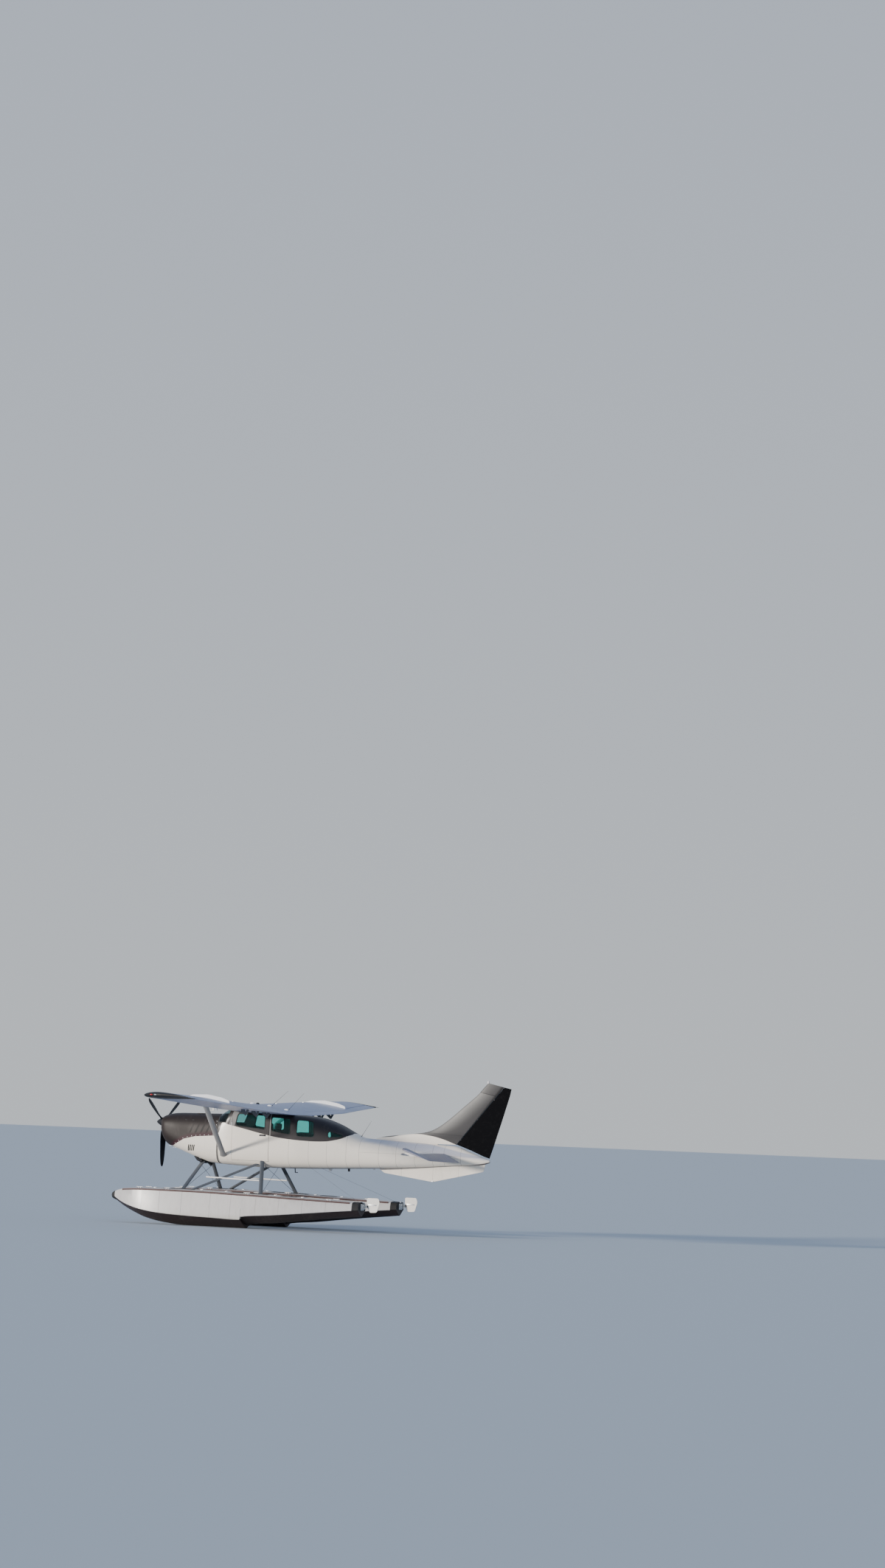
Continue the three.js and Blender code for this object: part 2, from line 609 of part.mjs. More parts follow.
function wingParts() {
  const up = new THREE.Vector3(0, 0, 1);
  const { start, end } = aileronHinge;
  const hingeDirection = end.clone().sub(start).normalize();
  const outerStart = start.clone().addScaledVector(hingeDirection, -2);
  const outerEnd = end.clone().addScaledVector(hingeDirection, 2);
  const aileronSpace = common(
    behindHinge(outerStart, outerEnd, up, 160, -coveGap),
    block([2900, 3800], [aileronSpan[0] - 6, aileronSpan[1] + 6], [2300, 3200]));
  const flapSpace = raisedPrism([...flapFace, [3900, 2800], [3900, 2400]], flapSpan[0] - 8, flapSpan[1] + 8);
  const shares = [0.12, 0.5, 0.88];
  const forward = new THREE.Vector3(1, 0, 0);

  const fenceOutline = [[2205, 2800], [2235, 2870], [2410, 2920], [2750, 2930], [3090, 2874], [3270, 2808], [3280, 2700], [2300, 2700]];
  const fence = sidePrism(softened(fenceOutline, 20, 2), (fenceY[0] + fenceY[1]) / 2 - 8, (fenceY[0] + fenceY[1]) / 2 + 8);

  const aileronSlots = lugSlots(start, end, shares);
  const aileron = cut(
    common(fullWing, behindHinge(start, end, up, 160), block([2900, 3800], aileronSpan, [2300, 3200])),
    ...aileronSlots);

  const flapShape = raisedPrism([
    ...flapFace.map(([s, h]) => [s + flapGap, h]), [3900, 2800], [3900, 2400]], ...flapSpan);
  const armYs = [1300, 1900, 2480];
  const arm = (y, outline, sides) => loft(sides.map((side) => outline.map(([aft, lift]) => at(
    flapHinge.station + aft,
    y + side * Math.cos(dihedral) - lift * Math.sin(dihedral),
    flapHinge.height + rise(y) + side * Math.sin(dihedral) + lift * Math.cos(dihedral)))));
  const fixedArm = [[14, -14], [14, 14], [-40, 150], [-130, 150], [-110, 70], [-14, -14]];
  const movingArm = [[-14, -14], [16, -14], [75, 90], [66, 130], [22, 118], [-14, 14]];
  const flap = joined(common(fullWing, flapShape), ...armYs.map((y) => arm(y, movingArm, [0, 12])));
  const body = joined(
    cut(fullWing, aileronSpace, flapSpace),
    fence,
    ...lugs(start, end, shares, forward, 30),
    ...armYs.map((y) => arm(y, fixedArm, [-12, -seam])));
  return { body, aileron, flap };
}

const strutFoot = at(1930, 512, 1585);
const strutHead = at(2318, 2560, 2735);

function addWings() {
  const middleRows = [-1, 1].map((side) => ({ ...wingRows[0], y: side * (wingRootY - seam) }));
  const keepAbove = sidePrism([[1900, 2400], [1900, 3000], [3520, 3000], [3520, 2400]], -700, 700);
  add('wing_middle', cut(common(spanLoft(middleRows), keepAbove), hullWithSeam), 'white');

  const { body, aileron, flap } = wingParts();
  addPair('wing', body, 'white');
  addPair('aileron', aileron, 'white');
  addPair('flap', flap, 'white');
  addPair('wing_strut', cut(strut(strutFoot, strutHead, 132, 46), hullWithSeam, wingWithSeam), 'paleGrey');
}

// Tail: cone, fin and rudder, ventral fin, stabilizer and elevator

const elevatorHinge = { station: 7120, height: 1800 };
const tubeRadius = 20;
const rudderHinge = { foot: at(7352, 0, 2052), head: at(8412, 0, 3346) };

const finColumns = ['height', 'leading', 'trailing', 'halfThickness'];
const finRows = [
  [1740, 5300, 8122, 40],
  [1900, 5300, 8176, 46],
  [2110, 5420, 8243, 46],
  [2170, 5650, 8261, 46],
  [2230, 6150, 8279, 46],
  [2300, 6620, 8300, 46],
  [2400, 6860, 8330, 45],
  [2570, 7105, 8382, 43],
  [2920, 7515, 8485, 38],
  [3190, 7820, 8562, 33],
  [3320, 7930, 8590, 28],
  [3440, 8040, 8625, 16],
].map((row) => readRow(finColumns, row));

function finRing({ height, leading, trailing, halfThickness }) {
  const chord = trailing - leading;
  const shares = [0, 0.012, 0.05, 0.15, 0.35, 0.6, 0.85, 1];
  const width = (share) => {
    const shape = 2.2 * (0.2969 * Math.sqrt(share) * 1.6 - 0.126 * share - 0.3516 * share ** 2 * 0.95);
    return Math.max(0.05, Math.min(1, shape * 1.75)) * halfThickness;
  };
  const ring = shares.map((share) => at(leading + chord * share, share === 0 ? 0 : width(share), height));
  const back = shares.slice(1).reverse().map((share) => at(leading + chord * share, -width(share), height));
  return [...ring, ...back];
}

const tailColumns = ['y', 'leading', 'height', 'chord', 'incidence', 'thickness', 'camber'];
const tailRows = [
  [60, 6330, elevatorHinge.height, 1225, 0, 0.088, 0],
  [1830, 6715, elevatorHinge.height, 772, 0, 0.088, 0],
  [1930, 6745, elevatorHinge.height, 732, 0, 0.075, 0],
  [1980, 6800, elevatorHinge.height, 640, 0, 0.045, 0],
].map((row) => readRow(tailColumns, row));

function addTail() {
  const tube = rod(at(elevatorHinge.station, -260, elevatorHinge.height), at(elevatorHinge.station, 260, elevatorHinge.height), tubeRadius);
  const tubeHole = rod(
    at(elevatorHinge.station, -268, elevatorHinge.height), at(elevatorHinge.station, 268, elevatorHinge.height), tubeRadius + 10);
  const cone = cut(
    sectionSolid(hullRows, cabinEnd + seam, coneEnd),
    sectionSolid(hullRows, cabinEnd - 200, 7900, -coneWall, 20), tubeHole);
  add('tail_cone', cone, 'cream');

  const aboveTip = sidePrism([[7900, 3443], [8030, 3440], [8700, 3297], [8700, 3600], [7900, 3600]], -100, 100);
  const wholeFin = cut(loft(finRows.map(finRing)), aboveTip);
  const { foot, head } = rudderHinge;
  const along = head.clone().sub(foot).normalize();
  const sideways = new THREE.Vector3(0, 1, 0);
  const low = foot.clone().addScaledVector(along, -400);
  const high = head.clone().addScaledVector(along, 300);
  const ahead = new THREE.Vector3().crossVectors(sideways, along).normalize();
  if (ahead.x < 0) {
    ahead.negate();
  }
  const shares = [0.08, 0.44, 0.79];
  const rudderFoot = sidePrism([[7000, 2058], [7330, 2058], [7700, 1930], [8000, 1808], [8200, 1748], [8700, 1748], [8700, 3600], [7000, 3600]], -100, 100);
  const rudder = largest(cut(
    common(wholeFin, behindHinge(low, high, sideways, 80), rudderFoot), ...lugSlots(foot, head, shares)));
  const fin = cut(
    wholeFin, behindHinge(low, high, sideways, 80, -coveGap), hullWithSeam,
    block([6900, 9000], [-200, 200], [1200, 2046]));
  add('fin', joined(fin, ...lugs(foot, head, shares, ahead, 30)), 'graphite');
  add('rudder', rudder, 'black');

  const ventralOutline = [[5520, 1445], [5650, 1355], [6810, 1200], [8005, 1474], [8035, 1600], [8035, 1750], [5520, 1750]];
  add('ventral_fin', cut(sidePrism(ventralOutline, -13, 13), hullWithSeam), 'cream');

  const portTail = spanLoft(tailRows);
  const hingeStart = at(elevatorHinge.station, 60, elevatorHinge.height);
  const hingeEnd = at(elevatorHinge.station, 2100, elevatorHinge.height);
  const up = new THREE.Vector3(0, 0, 1);
  const elevatorRoot = 222;
  const horn = { root: 1790, front: 6790 };
  const hingeShares = [0.16, 0.5, 0.78];
  const stabilizer = cut(
    portTail, behindHinge(hingeStart, hingeEnd, up, 100, -coveGap), hullWithSeam, tubeHole,
    block([horn.front - 20, 7400], [horn.root - 8, 2100], [1600, 2000]));
  addPair('stabilizer', joined(stabilizer, ...lugs(hingeStart, hingeEnd, hingeShares, new THREE.Vector3(1, 0, 0), 30)), 'cream');

  const halves = cut(
    common(portTail, joined(
      common(behindHinge(hingeStart, hingeEnd, up, 100), block([7000, 7700], [elevatorRoot, 2100], [1600, 2000])),
      block([horn.front, elevatorHinge.station + 60], [horn.root, 2100], [1600, 2000]))),
    ...lugSlots(hingeStart, hingeEnd, hingeShares));
  const elevator = geometryOf(joined(halves, toStarboard(halves), tube));
  elevator.translate(-(spinnerTipX - elevatorHinge.station), 0, -elevatorHinge.height);
  elevator.rotateY(-elevatorDroop);
  elevator.translate(spinnerTipX - elevatorHinge.station, 0, elevatorHinge.height);
  add('elevator', solidOf(elevator), 'cream');
}

// Floats: a V bottom in two steps under a crowned deck, with the struts that carry the aircraft

const floatColumns = ['station', 'deckHalf', 'chineHalf', 'deck', 'chine', 'keel'];
const floatRows = [
  [-380, 100, 108, 690, 575, 500],
  [-180, 190, 205, 745, 480, 372],
  [60, 262, 290, 765, 398, 252],
  [400, 318, 358, 775, 320, 125],
  [850, 345, 398, 778, 264, 40],
  [1400, 352, 410, 776, 234, 0],
  [2100, 352, 412, 770, 214, 0],
  [2850, 350, 408, 752, 200, 0],
  [2852, 350, 400, 752, 262, 68],
  [3600, 328, 376, 732, 330, 150],
  [4500, 286, 326, 708, 420, 262],
  [5300, 236, 262, 688, 500, 352],
  [5600, 214, 236, 680, 524, 384],
].map((row) => readRow(floatColumns, row));
const keelHalf = 14;

function floatRing({ station, deckHalf, chineHalf, deck, chine, keel }) {
  const crown = deckHalf * 0.1;
  const half = [
    [0, deck + crown],
    [deckHalf * 0.55, deck + crown * 0.72],
    [deckHalf * 0.88, deck],
    [deckHalf * 0.99, deck - 26],
    [THREE.MathUtils.lerp(deckHalf, chineHalf, 0.75), THREE.MathUtils.lerp(deck, chine, 0.6)],
    [chineHalf, chine],
    [chineHalf * 0.52, THREE.MathUtils.lerp(keel, chine, 0.44)],
    [keelHalf, keel],
  ];
  const mirror = half.slice(1).reverse().map(([y, height]) => [-y, height]);
  return [...half, ...mirror].map(([y, height]) => at(station, floatCentreY + y, height));
}

function floatWith(grow) {
  const rows = floatRows.map((row) => ({
    ...row, deckHalf: row.deckHalf + grow, chineHalf: row.chineHalf + grow, deck: row.deck + grow }));
  return loft(rows.map(floatRing));
}

const rudderPost = { station: 5680, low: 560, high: 650 };

function addFloats() {
  const hullSolid = floatWith(0);
  const lugPlate = (height) => block([5560, 5700], [floatCentreY - 30, floatCentreY + 30], [height, height + 10]);
  const brackets = [rudderPost.low - 10 - seam, rudderPost.high + seam].map(lugPlate);
  addPair('float', joined(hullSolid, ...brackets), 'white');

  const bowRows = [[-490, 26, 28, 622, 590, 560], [-455, 66, 72, 655, 575, 525], [-380 - seam, 106, 114, 696, 570, 495]]
    .map((row) => floatRing(readRow(floatColumns, row)));
  addPair('bow_bumper', loft(bowRows), 'rubber');

  const post = rod(at(rudderPost.station, floatCentreY, rudderPost.low), at(rudderPost.station, floatCentreY, rudderPost.high), 13);
  const neck = block([rudderPost.station, 5760], [floatCentreY - 5, floatCentreY + 5], [578, 632]);
  const bladeOutline = softened([[5722, 800], [5990, 800], [6020, 700], [5960, 490], [5800, 480], [5722, 620]], 30);
  const blade = sidePrism(bladeOutline, floatCentreY - 5, floatCentreY + 5);
  addPair('water_rudder', joined(post, neck, blade), 'alloy');
}

function addFloatStruts() {
  const deckSeam = floatWith(seam);
  const cowlSeam = sectionSolid(cowlRows, cowlRows[0].station, firewallStation - seam, seam);
  const deckFoot = (station, y, height) => at(station, y, height);
  const front = strut(deckFoot(1190, 1125, 740), at(1320, 262, 1432), 96, 46);
  const rear = strut(deckFoot(3120, 1080, 710), at(2880, 500, 1500), 96, 46);
  const diagonal = strut(deckFoot(1330, 1080, 745), at(2770, 440, 1440), 70, 36);
  const stepBar = rod(at(1640, 775, 1092), at(2955, 800, 1063), 17);
  const fittingSeam = block([1200, 1420], [-250 - seam, 250 + seam], [1380, 1540]);
  const rearCut = cut(rear, deckSeam, hullWithSeam);
  addPair('float_front_strut', cut(front, deckSeam, cowlSeam, fittingSeam), 'paleGrey');
  addPair('float_rear_strut', rearCut, 'paleGrey');
  addPair('float_diagonal', cut(joined(diagonal, stepBar), deckSeam, hullWithSeam,
    strut(deckFoot(3120, 1080, 710), at(2880, 500, 1500), 96 + 2 * seam, 46 + 2 * seam)), 'paleGrey');
  for (const [name, station] of [['spreader_front', 1260], ['spreader_rear', 3060]]) {
    const bar = rod(at(station, -1000, 690), at(station, 1000, 690), 30);
    add(name, cut(bar, deckSeam, toStarboard(deckSeam)), 'paleGrey');
  }
}

addCabin();
addInterior();
addNose();
addWings();
addTail();
addFloats();
addFloatStruts();

export default aircraft;
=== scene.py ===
import math
from types import SimpleNamespace

import bmesh
import bpy
from mathutils import Matrix, Vector


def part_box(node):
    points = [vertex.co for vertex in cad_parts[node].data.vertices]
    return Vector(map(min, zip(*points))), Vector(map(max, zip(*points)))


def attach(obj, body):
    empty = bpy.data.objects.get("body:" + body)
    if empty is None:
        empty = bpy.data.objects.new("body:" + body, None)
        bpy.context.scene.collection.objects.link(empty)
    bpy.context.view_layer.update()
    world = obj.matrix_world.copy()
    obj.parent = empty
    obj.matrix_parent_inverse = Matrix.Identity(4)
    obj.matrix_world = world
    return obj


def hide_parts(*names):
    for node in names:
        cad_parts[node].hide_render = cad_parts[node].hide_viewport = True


# A six-seat floatplane. Stations are metres aft of the spinner's tip, heights are metres above the
# keels, and +Y is to port. Small parts that come in pairs are modelled to port and mirrored.
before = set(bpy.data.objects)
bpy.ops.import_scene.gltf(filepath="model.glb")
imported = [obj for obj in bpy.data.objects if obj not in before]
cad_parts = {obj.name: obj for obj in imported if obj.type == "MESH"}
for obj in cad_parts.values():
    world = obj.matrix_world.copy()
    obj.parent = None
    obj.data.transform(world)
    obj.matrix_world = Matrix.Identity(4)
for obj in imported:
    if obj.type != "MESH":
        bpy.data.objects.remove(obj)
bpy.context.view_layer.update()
scene = bpy.context.scene
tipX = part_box("spinner")[1].x
up = Vector((0, 0, 1))
sideways = Vector((0, 1, 0))
forward = Vector((1, 0, 0))
floatY = 1.17  # the floats' middle lines


def at(station, y, height):
    return Vector((tipX - station, y, height))


# Tables of sections, read between their rows on a curve that never overshoots them
class Table:
    def __init__(self, columns, rows, smooth=True):
        self.columns = columns.split()
        self.rows = rows
        self.keys = [row[0] for row in rows]
        self.smooth = smooth
        self.slopes = []
        for values in zip(*rows):
            steps = [(b - a) / (q - p) for a, b, p, q in zip(values, values[1:], self.keys, self.keys[1:])]
            inner = [0 if a * b <= 0 else 2 * a * b / (a + b) for a, b in zip(steps, steps[1:])]
            self.slopes.append([steps[0], *inner, steps[-1]])

    def at(self, key):
        i = max(0, min(len(self.keys) - 2, sum(k < key for k in self.keys) - 1))
        span = self.keys[i + 1] - self.keys[i]
        t = (key - self.keys[i]) / span
        found = {}
        for column, a, b, slopes in zip(self.columns, self.rows[i], self.rows[i + 1], self.slopes):
            if self.smooth:
                m, n = slopes[i] * span, slopes[i + 1] * span
                found[column] = (a * (2 * t**3 - 3 * t**2 + 1) + m * (t**3 - 2 * t**2 + t)
                                 + b * (3 * t**2 - 2 * t**3) + n * (t**3 - t**2))
            else:
                found[column] = a + (b - a) * t
        return SimpleNamespace(**found)

    def between(self, start, end, step):
        count = max(1, round((end - start) / step))
        even = [start + (end - start) * i / count for i in range(count + 1)]
        keys = [k for k in self.keys if start < k < end]
        spots = sorted(even + [k for k in keys if min(abs(k - e) for e in even) > step * 0.2])
        return [self.at(spot) for spot in spots]


# Mesh helpers: every loft grows ring by ring from a circle
def startRing(bm, points):
    ring = bmesh.ops.create_circle(bm, segments=len(points), radius=1)["verts"]
    for vert, point in zip(ring, points):
        vert.co = point
    return ring


def growRing(bm, ring, points):
    order = {vert: i for i, vert in enumerate(ring)}
    edges = [bm.edges.get((vert, ring[i - 1])) for i, vert in enumerate(ring)]
    grown = bmesh.ops.extrude_edge_only(bm, edges=edges)["geom"]
    new = [None] * len(ring)
    for vert in (item for item in grown if isinstance(item, bmesh.types.BMVert)):
        for edge in vert.link_edges:
            old = order.get(edge.other_vert(vert))
            if old is not None:
                new[old] = vert
    for vert, point in zip(new, points):
        vert.co = point
    return new


def closeUp(bm):
    bmesh.ops.holes_fill(bm, edges=[edge for edge in bm.edges if edge.is_boundary], sides=0)
    bmesh.ops.recalc_face_normals(bm, faces=bm.faces)


def loft(sections):
    bm = bmesh.new()
    ring = startRing(bm, sections[0])
    for points in sections[1:]:
        ring = growRing(bm, ring, points)
    closeUp(bm)
    return bm


def pieceFrom(name, bm, sharp=32):
    mesh = bpy.data.meshes.new(name)
    bm.to_mesh(mesh)
    bm.free()
    piece = bpy.data.objects.new(name, mesh)
    scene.collection.objects.link(piece)
    return settle(piece, sharp)


# Merges doubles, shades smooth and keeps the edges sharp that turn by more than the angle
def settle(piece, sharp=32):
    bm = bmesh.new()
    bm.from_mesh(piece.data)
    bmesh.ops.remove_doubles(bm, verts=bm.verts, dist=2e-5)
    bmesh.ops.dissolve_degenerate(bm, edges=bm.edges, dist=1e-5)
    for face in bm.faces:
        face.smooth = True
    for edge in bm.edges:
        edge.smooth = len(edge.link_faces) == 2 and edge.calc_face_angle(0) < math.radians(sharp)
    bm.to_mesh(piece.data)
    bm.free()
    return piece


def carve(piece, tools, operation="DIFFERENCE", sharp=32):
    for tool in tools:
        cutter = piece.modifiers.new("carve", "BOOLEAN")
        cutter.solver = "EXACT"
        cutter.operation = operation
        cutter.object = tool
    seen = bpy.context.evaluated_depsgraph_get()
    mesh = bpy.data.meshes.new_from_object(piece.evaluated_get(seen))
    piece.modifiers.clear()
    piece.data = mesh
    for tool in tools:
        bpy.data.objects.remove(tool)
    return settle(piece, sharp)


def keepInside(piece, tool, sharp=32):
    return carve(piece, [tool], "INTERSECT", sharp)


def twin(piece, name="twin"):
    copy = piece.copy()
    copy.data = piece.data.copy()
    copy.name = name
    scene.collection.objects.link(copy)
    return copy


def mirrored(piece, name):
    copy = twin(piece, name)
    bm = bmesh.new()
    bm.from_mesh(copy.data)
    bmesh.ops.scale(bm, vec=(1, -1, 1), verts=bm.verts)
    bmesh.ops.reverse_faces(bm, faces=bm.faces)
    bm.to_mesh(copy.data)
    bm.free()
    return copy


# Shapes that fill a mesh: a part is a list of them with their values
def rod(bm, start, end, radius, sides=20, endRadius=None):
    along = end - start
    place = Matrix.Translation((start + end) / 2) @ along.to_track_quat("Z", "Y").to_matrix().to_4x4()
    bmesh.ops.create_cone(bm, cap_ends=True, segments=sides, radius1=radius, depth=along.length, matrix=place,
                          radius2=radius if endRadius is None else endRadius)


def ball(bm, centre, radii, segments=20):
    place = Matrix.Translation(centre) @ Matrix.Diagonal((*radii, 1))
    bmesh.ops.create_uvsphere(bm, u_segments=segments, v_segments=segments // 2, radius=1, matrix=place)


def block(bm, low, high, bevel=0.0, segments=2):
    size = high - low
    place = Matrix.Translation((low + high) / 2) @ Matrix.Diagonal((abs(size.x), abs(size.y), abs(size.z), 1))
    verts = bmesh.ops.create_cube(bm, size=1, matrix=place)["verts"]
    if bevel:
        edges = list({edge for vert in verts for edge in vert.link_edges})
        bmesh.ops.bevel(bm, geom=edges, offset=bevel, offset_type="OFFSET", affect="EDGES",
                        segments=segments, profile=0.5, material=-1)


def bent(bm, spots, radius, sides):
    for start, end in zip(spots, spots[1:]):
        rod(bm, start, end, radius, sides)


def joined(bm, other):
    spare = bpy.data.meshes.new("spare")
    other.to_mesh(spare)
    other.free()
    bm.from_mesh(spare)
    bpy.data.meshes.remove(spare)


def taken(bm, piece):
    bm.from_mesh(piece.data)
    bpy.data.objects.remove(piece)


def filled(parts, name="tool", sharp=32):
    bm = bmesh.new()
    for shape, *values in parts:
        shape(bm, *values)
    return pieceFrom(name, bm, sharp)


def box(stations, ys, heights):
    return filled([(block, at(stations[1], ys[0], heights[0]), at(stations[0], ys[1], heights[1]))])


# A prism from a side view outline of (station, height) pairs, its corners rounded
def sidePrism(outline, yLow, yHigh, corner=0.0, segments=5):
    bm = bmesh.new()
    ring = startRing(bm, [at(s, yLow, h) for s, h in outline])
    bmesh.ops.contextual_create(bm, geom=ring + list(bm.edges))
    if corner:
        bmesh.ops.bevel(bm, geom=list(bm.verts), offset=corner, offset_type="OFFSET", affect="VERTICES",
                        segments=segments, profile=0.5, material=-1)
    grown = bmesh.ops.extrude_face_region(bm, geom=list(bm.faces))["geom"]
    far = [v for v in grown if isinstance(v, bmesh.types.BMVert)]
    bmesh.ops.translate(bm, vec=(0, yHigh - yLow, 0), verts=far)
    bmesh.ops.recalc_face_normals(bm, faces=bm.faces)
    return pieceFrom("prism", bm)


# Moves every side of an outline inwards by the margin, or outwards if it is negative
def inset(outline, margin):
    corners = [Vector(corner) for corner in outline]
    area = sum(a.x * b.y - b.x * a.y for a, b in zip(corners, corners[1:] + corners[:1]))
    turn = 1 if area > 0 else -1
    moved = []
    for i, corner in enumerate(corners):
        after = corners[(i + 1) % len(corners)]
        sides = [(corner - corners[i - 1]).normalized(), (after - corner).normalized()]
        normals = [Vector((-side.y * turn, side.x * turn)) for side in sides]
        both = normals[0] + normals[1]
        moved.append(tuple(corner + both * margin / (1 + normals[0].dot(normals[1]))))
    return moved


made = []


def dress(piece, finish, nodes=(), body="airframe"):
    piece.data.materials.clear()
    piece.data.materials.append(finish)
    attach(piece, body)
    if nodes:
        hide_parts(*nodes)
    made.append(piece)
    return piece


# A port piece and its mirror image; {} in a node's or body's name stands for the side
def bothSides(piece, label, finish, node=None, body="airframe"):
    right = mirrored(piece, label + "Right")
    piece.name = label + "Left"
    for side, half in (("left", piece), ("right", right)):
        dress(half, finish, [node.format(side)] if node else [], body.format(side))
    return piece, right


def addPiece(name, finish, parts, body="airframe", nodes=(), sharp=32):
    return dress(filled(parts, name, sharp), finish, nodes, body)


def addPair(name, finish, parts, body="airframe", node=None, sharp=32):
    return bothSides(filled(parts, name, sharp), name, finish, node, body)


# Shader maths: a wire carries a socket and Python's own operators
class Wire:
    def __init__(self, finish, socket):
        self.finish = finish
        self.socket = socket

    def op(self, operation, *others):
        return self.finish.maths(operation, self, *others)

    def __add__(self, other):
        return self.op("ADD", other)

    def __sub__(self, other):
        return self.op("SUBTRACT", other)

    def __rsub__(self, other):
        return self.finish.maths("SUBTRACT", other, self)

    def __mul__(self, other):
        return self.op("MULTIPLY", other)

    def __truediv__(self, other):
        return self.op("DIVIDE", other)

    def __abs__(self):
        return self.op("ABSOLUTE")

    def __or__(self, other):
        return self.op("MAXIMUM", other)

    def __and__(self, other):
        return self.op("MINIMUM", other)

    __radd__ = __add__
    __rmul__ = __mul__

    # 0 below low, 1 above high, and smooth between; low above high turns it round
    def step(self, low, high):
        return self.finish.out("ShaderNodeMapRange", {"interpolation_type": "SMOOTHSTEP", "clamp": True},
                               {"Value": self, "From Min": low, "From Max": high}, "Result")

    # distance to the nearest multiple of the pitch
    def every(self, pitch):
        return self.op("PINGPONG", pitch / 2)

    def near(self, place, halfWidth):
        return abs(self - place).step(halfWidth, halfWidth * 0.55)

    def nearAny(self, places, halfWidth):
        found = self.near(places[0], halfWidth)
        for place in places[1:]:
            found = found | self.near(place, halfWidth)
        return found


class Finish:
    sockets = {"colour": "Base Color", "roughness": "Roughness", "metallic": "Metallic", "alpha": "Alpha",
               "coat": "Coat Weight", "coatRoughness": "Coat Roughness", "ior": "IOR", "normal": "Normal",
               "sheen": "Sheen Weight", "specular": "Specular IOR Level",
               "transmission": "Transmission Weight"}

    def __init__(self, name, **values):
        self.material = bpy.data.materials.new(name)
        self.material.use_nodes = True
        self.tree = self.material.node_tree
        self.shader = self.tree.nodes["Principled BSDF"]
        self.set(**values)

    def set(self, **values):
        for key, value in values.items():
            self.feed(self.shader.inputs[self.sockets[key]], value)

    def feed(self, socket, value):
        if isinstance(value, Wire):
            self.tree.links.new(value.socket, socket)
        elif isinstance(value, tuple) and socket.type == "RGBA":
            socket.default_value = (*value, 1)
        else:
            socket.default_value = value

    def node(self, kind, settings, inputs):
        new = self.tree.nodes.new(kind)
        for key, value in settings.items():
            if key == "points":
                line = new.mapping.curves[0].points
                for spot in value[2:]:
                    line.new(*spot)
                for point, spot in zip(line, value):
                    point.location = spot
                new.mapping.update()
            else:
                setattr(new, key, value)
        for key, value in inputs.items():
            self.feed(new.inputs[key], value)
        return new

    def out(self, kind, settings, inputs, output=0):
        return Wire(self, self.node(kind, settings, inputs).outputs[output])

    def maths(self, operation, *values):
        return self.out("ShaderNodeMath", {"operation": operation}, dict(enumerate(values)))

    def axes(self):
        place = self.out("ShaderNodeTexCoord", {}, {}, "Object")
        split = self.node("ShaderNodeSeparateXYZ", {}, {0: place})
        return [Wire(self, split.outputs[i]) for i in range(3)]

    def noise(self, scale, detail=4, rough=0.6, stretch=(1, 1, 1)):
        place = self.out("ShaderNodeTexCoord", {}, {}, "Object")
        moved = self.out("ShaderNodeMapping", {}, {"Vector": place, "Scale": stretch})
        return self.out("ShaderNodeTexNoise", {}, {"Vector": moved, "Scale": scale, "Detail": detail,
                                                   "Roughness": rough})

    def mix(self, share, a, b):
        return self.out("ShaderNodeMix", {"data_type": "RGBA"}, {0: share, 6: a, 7: b}, 2)

    # the height that a smooth line of (place, height) points has at each place
    def line(self, along, points):
        low, high = points[0][0], points[-1][0]
        floor, top = min(p[1] for p in points) - 0.1, max(p[1] for p in points) + 0.1
        spots = [((s - low) / (high - low), (h - floor) / (top - floor)) for s, h in points]
        share = self.out("ShaderNodeFloatCurve", {"points": spots}, {"Value": (along - low) / (high - low)})
        return share * (top - floor) + floor

    def bump(self, height, distance, strength):
        inputs = {"Height": height, "Distance": distance, "Strength": strength}
        self.set(normal=self.out("ShaderNodeBump", {}, inputs))


# Colours, linear
cream = (0.86, 0.79, 0.69)
# The wings' white paint as it looks in shade, reflecting the blue sky: painted shade and reflection, also laid
# on the tail cone's top
skyShadeBlue = (0.24, 0.3, 0.47)
charcoal = (0.026, 0.02, 0.019)
bandBlack = (0.013, 0.009, 0.011)
maroon = (0.035, 0.012, 0.014)
bottomRed = (0.017, 0.007, 0.008)
graphite = (0.05, 0.048, 0.05)
deepBlack = (0.004, 0.004, 0.005)
grime = (0.2, 0.17, 0.13)
postShadeGrey = (0.19, 0.185, 0.18)
frameGrey = (0.3, 0.29, 0.28)

# Edges of the paint, and of the painted shade on the tail cone, in side view, as (station, height); the fin's
# front edge is (height, station)
bandLine = [(0.1, 2.045), (1.5, 2.045), (1.72, 2.045), (1.78, 2.09), (1.83, 2.22), (1.875, 2.325), (2, 2.295),
            (2.4, 2.21), (2.9, 2.105), (3.32, 2.033), (3.8, 1.995), (4.28, 1.99), (4.6, 2.035), (4.9, 2.155),
            (5.2, 2.3)]
finPaintLine = [(5.3, 2.15), (5.75, 2.16), (6.07, 2.22), (6.43, 2.25), (6.72, 2.22), (6.93, 2.18),
                (7.33, 2.05), (7.72, 1.91), (8.09, 1.76), (8.6, 1.6)]
skyShadeLow = [(5, 2.05), (5.44, 1.998), (5.88, 1.94), (6.32, 1.87), (6.85, 1.81), (7.43, 1.775), (8, 1.73),
               (8.14, 1.72)]
skyShadeHigh = [(5.0, 2.3), (6.32, 2.1), (6.85, 2.019), (7.43, 1.901), (8.0, 1.783), (8.14, 1.75)]
bellyLine = [(1.8, 1.4), (2.4, 1.38), (2.95, 1.37), (3.6, 1.379), (4.47, 1.407), (5.17, 1.438), (5.65, 1.461),
             (6.4, 1.511), (7.0, 1.558), (7.34, 1.585), (7.7, 1.612), (8.14, 1.69)]
cowlEdge = [(0.15, 1.86), (0.3, 1.79), (0.43, 1.69), (0.68, 1.8), (0.93, 1.93), (1.2, 1.99), (1.76, 2.03)]
finFront = [(2.1, 5.42), (2.17, 5.65), (2.23, 6.15), (2.3, 6.62), (2.4, 6.86), (2.57, 7.105), (2.92, 7.515),
            (3.19, 7.82), (3.44, 8.04)]
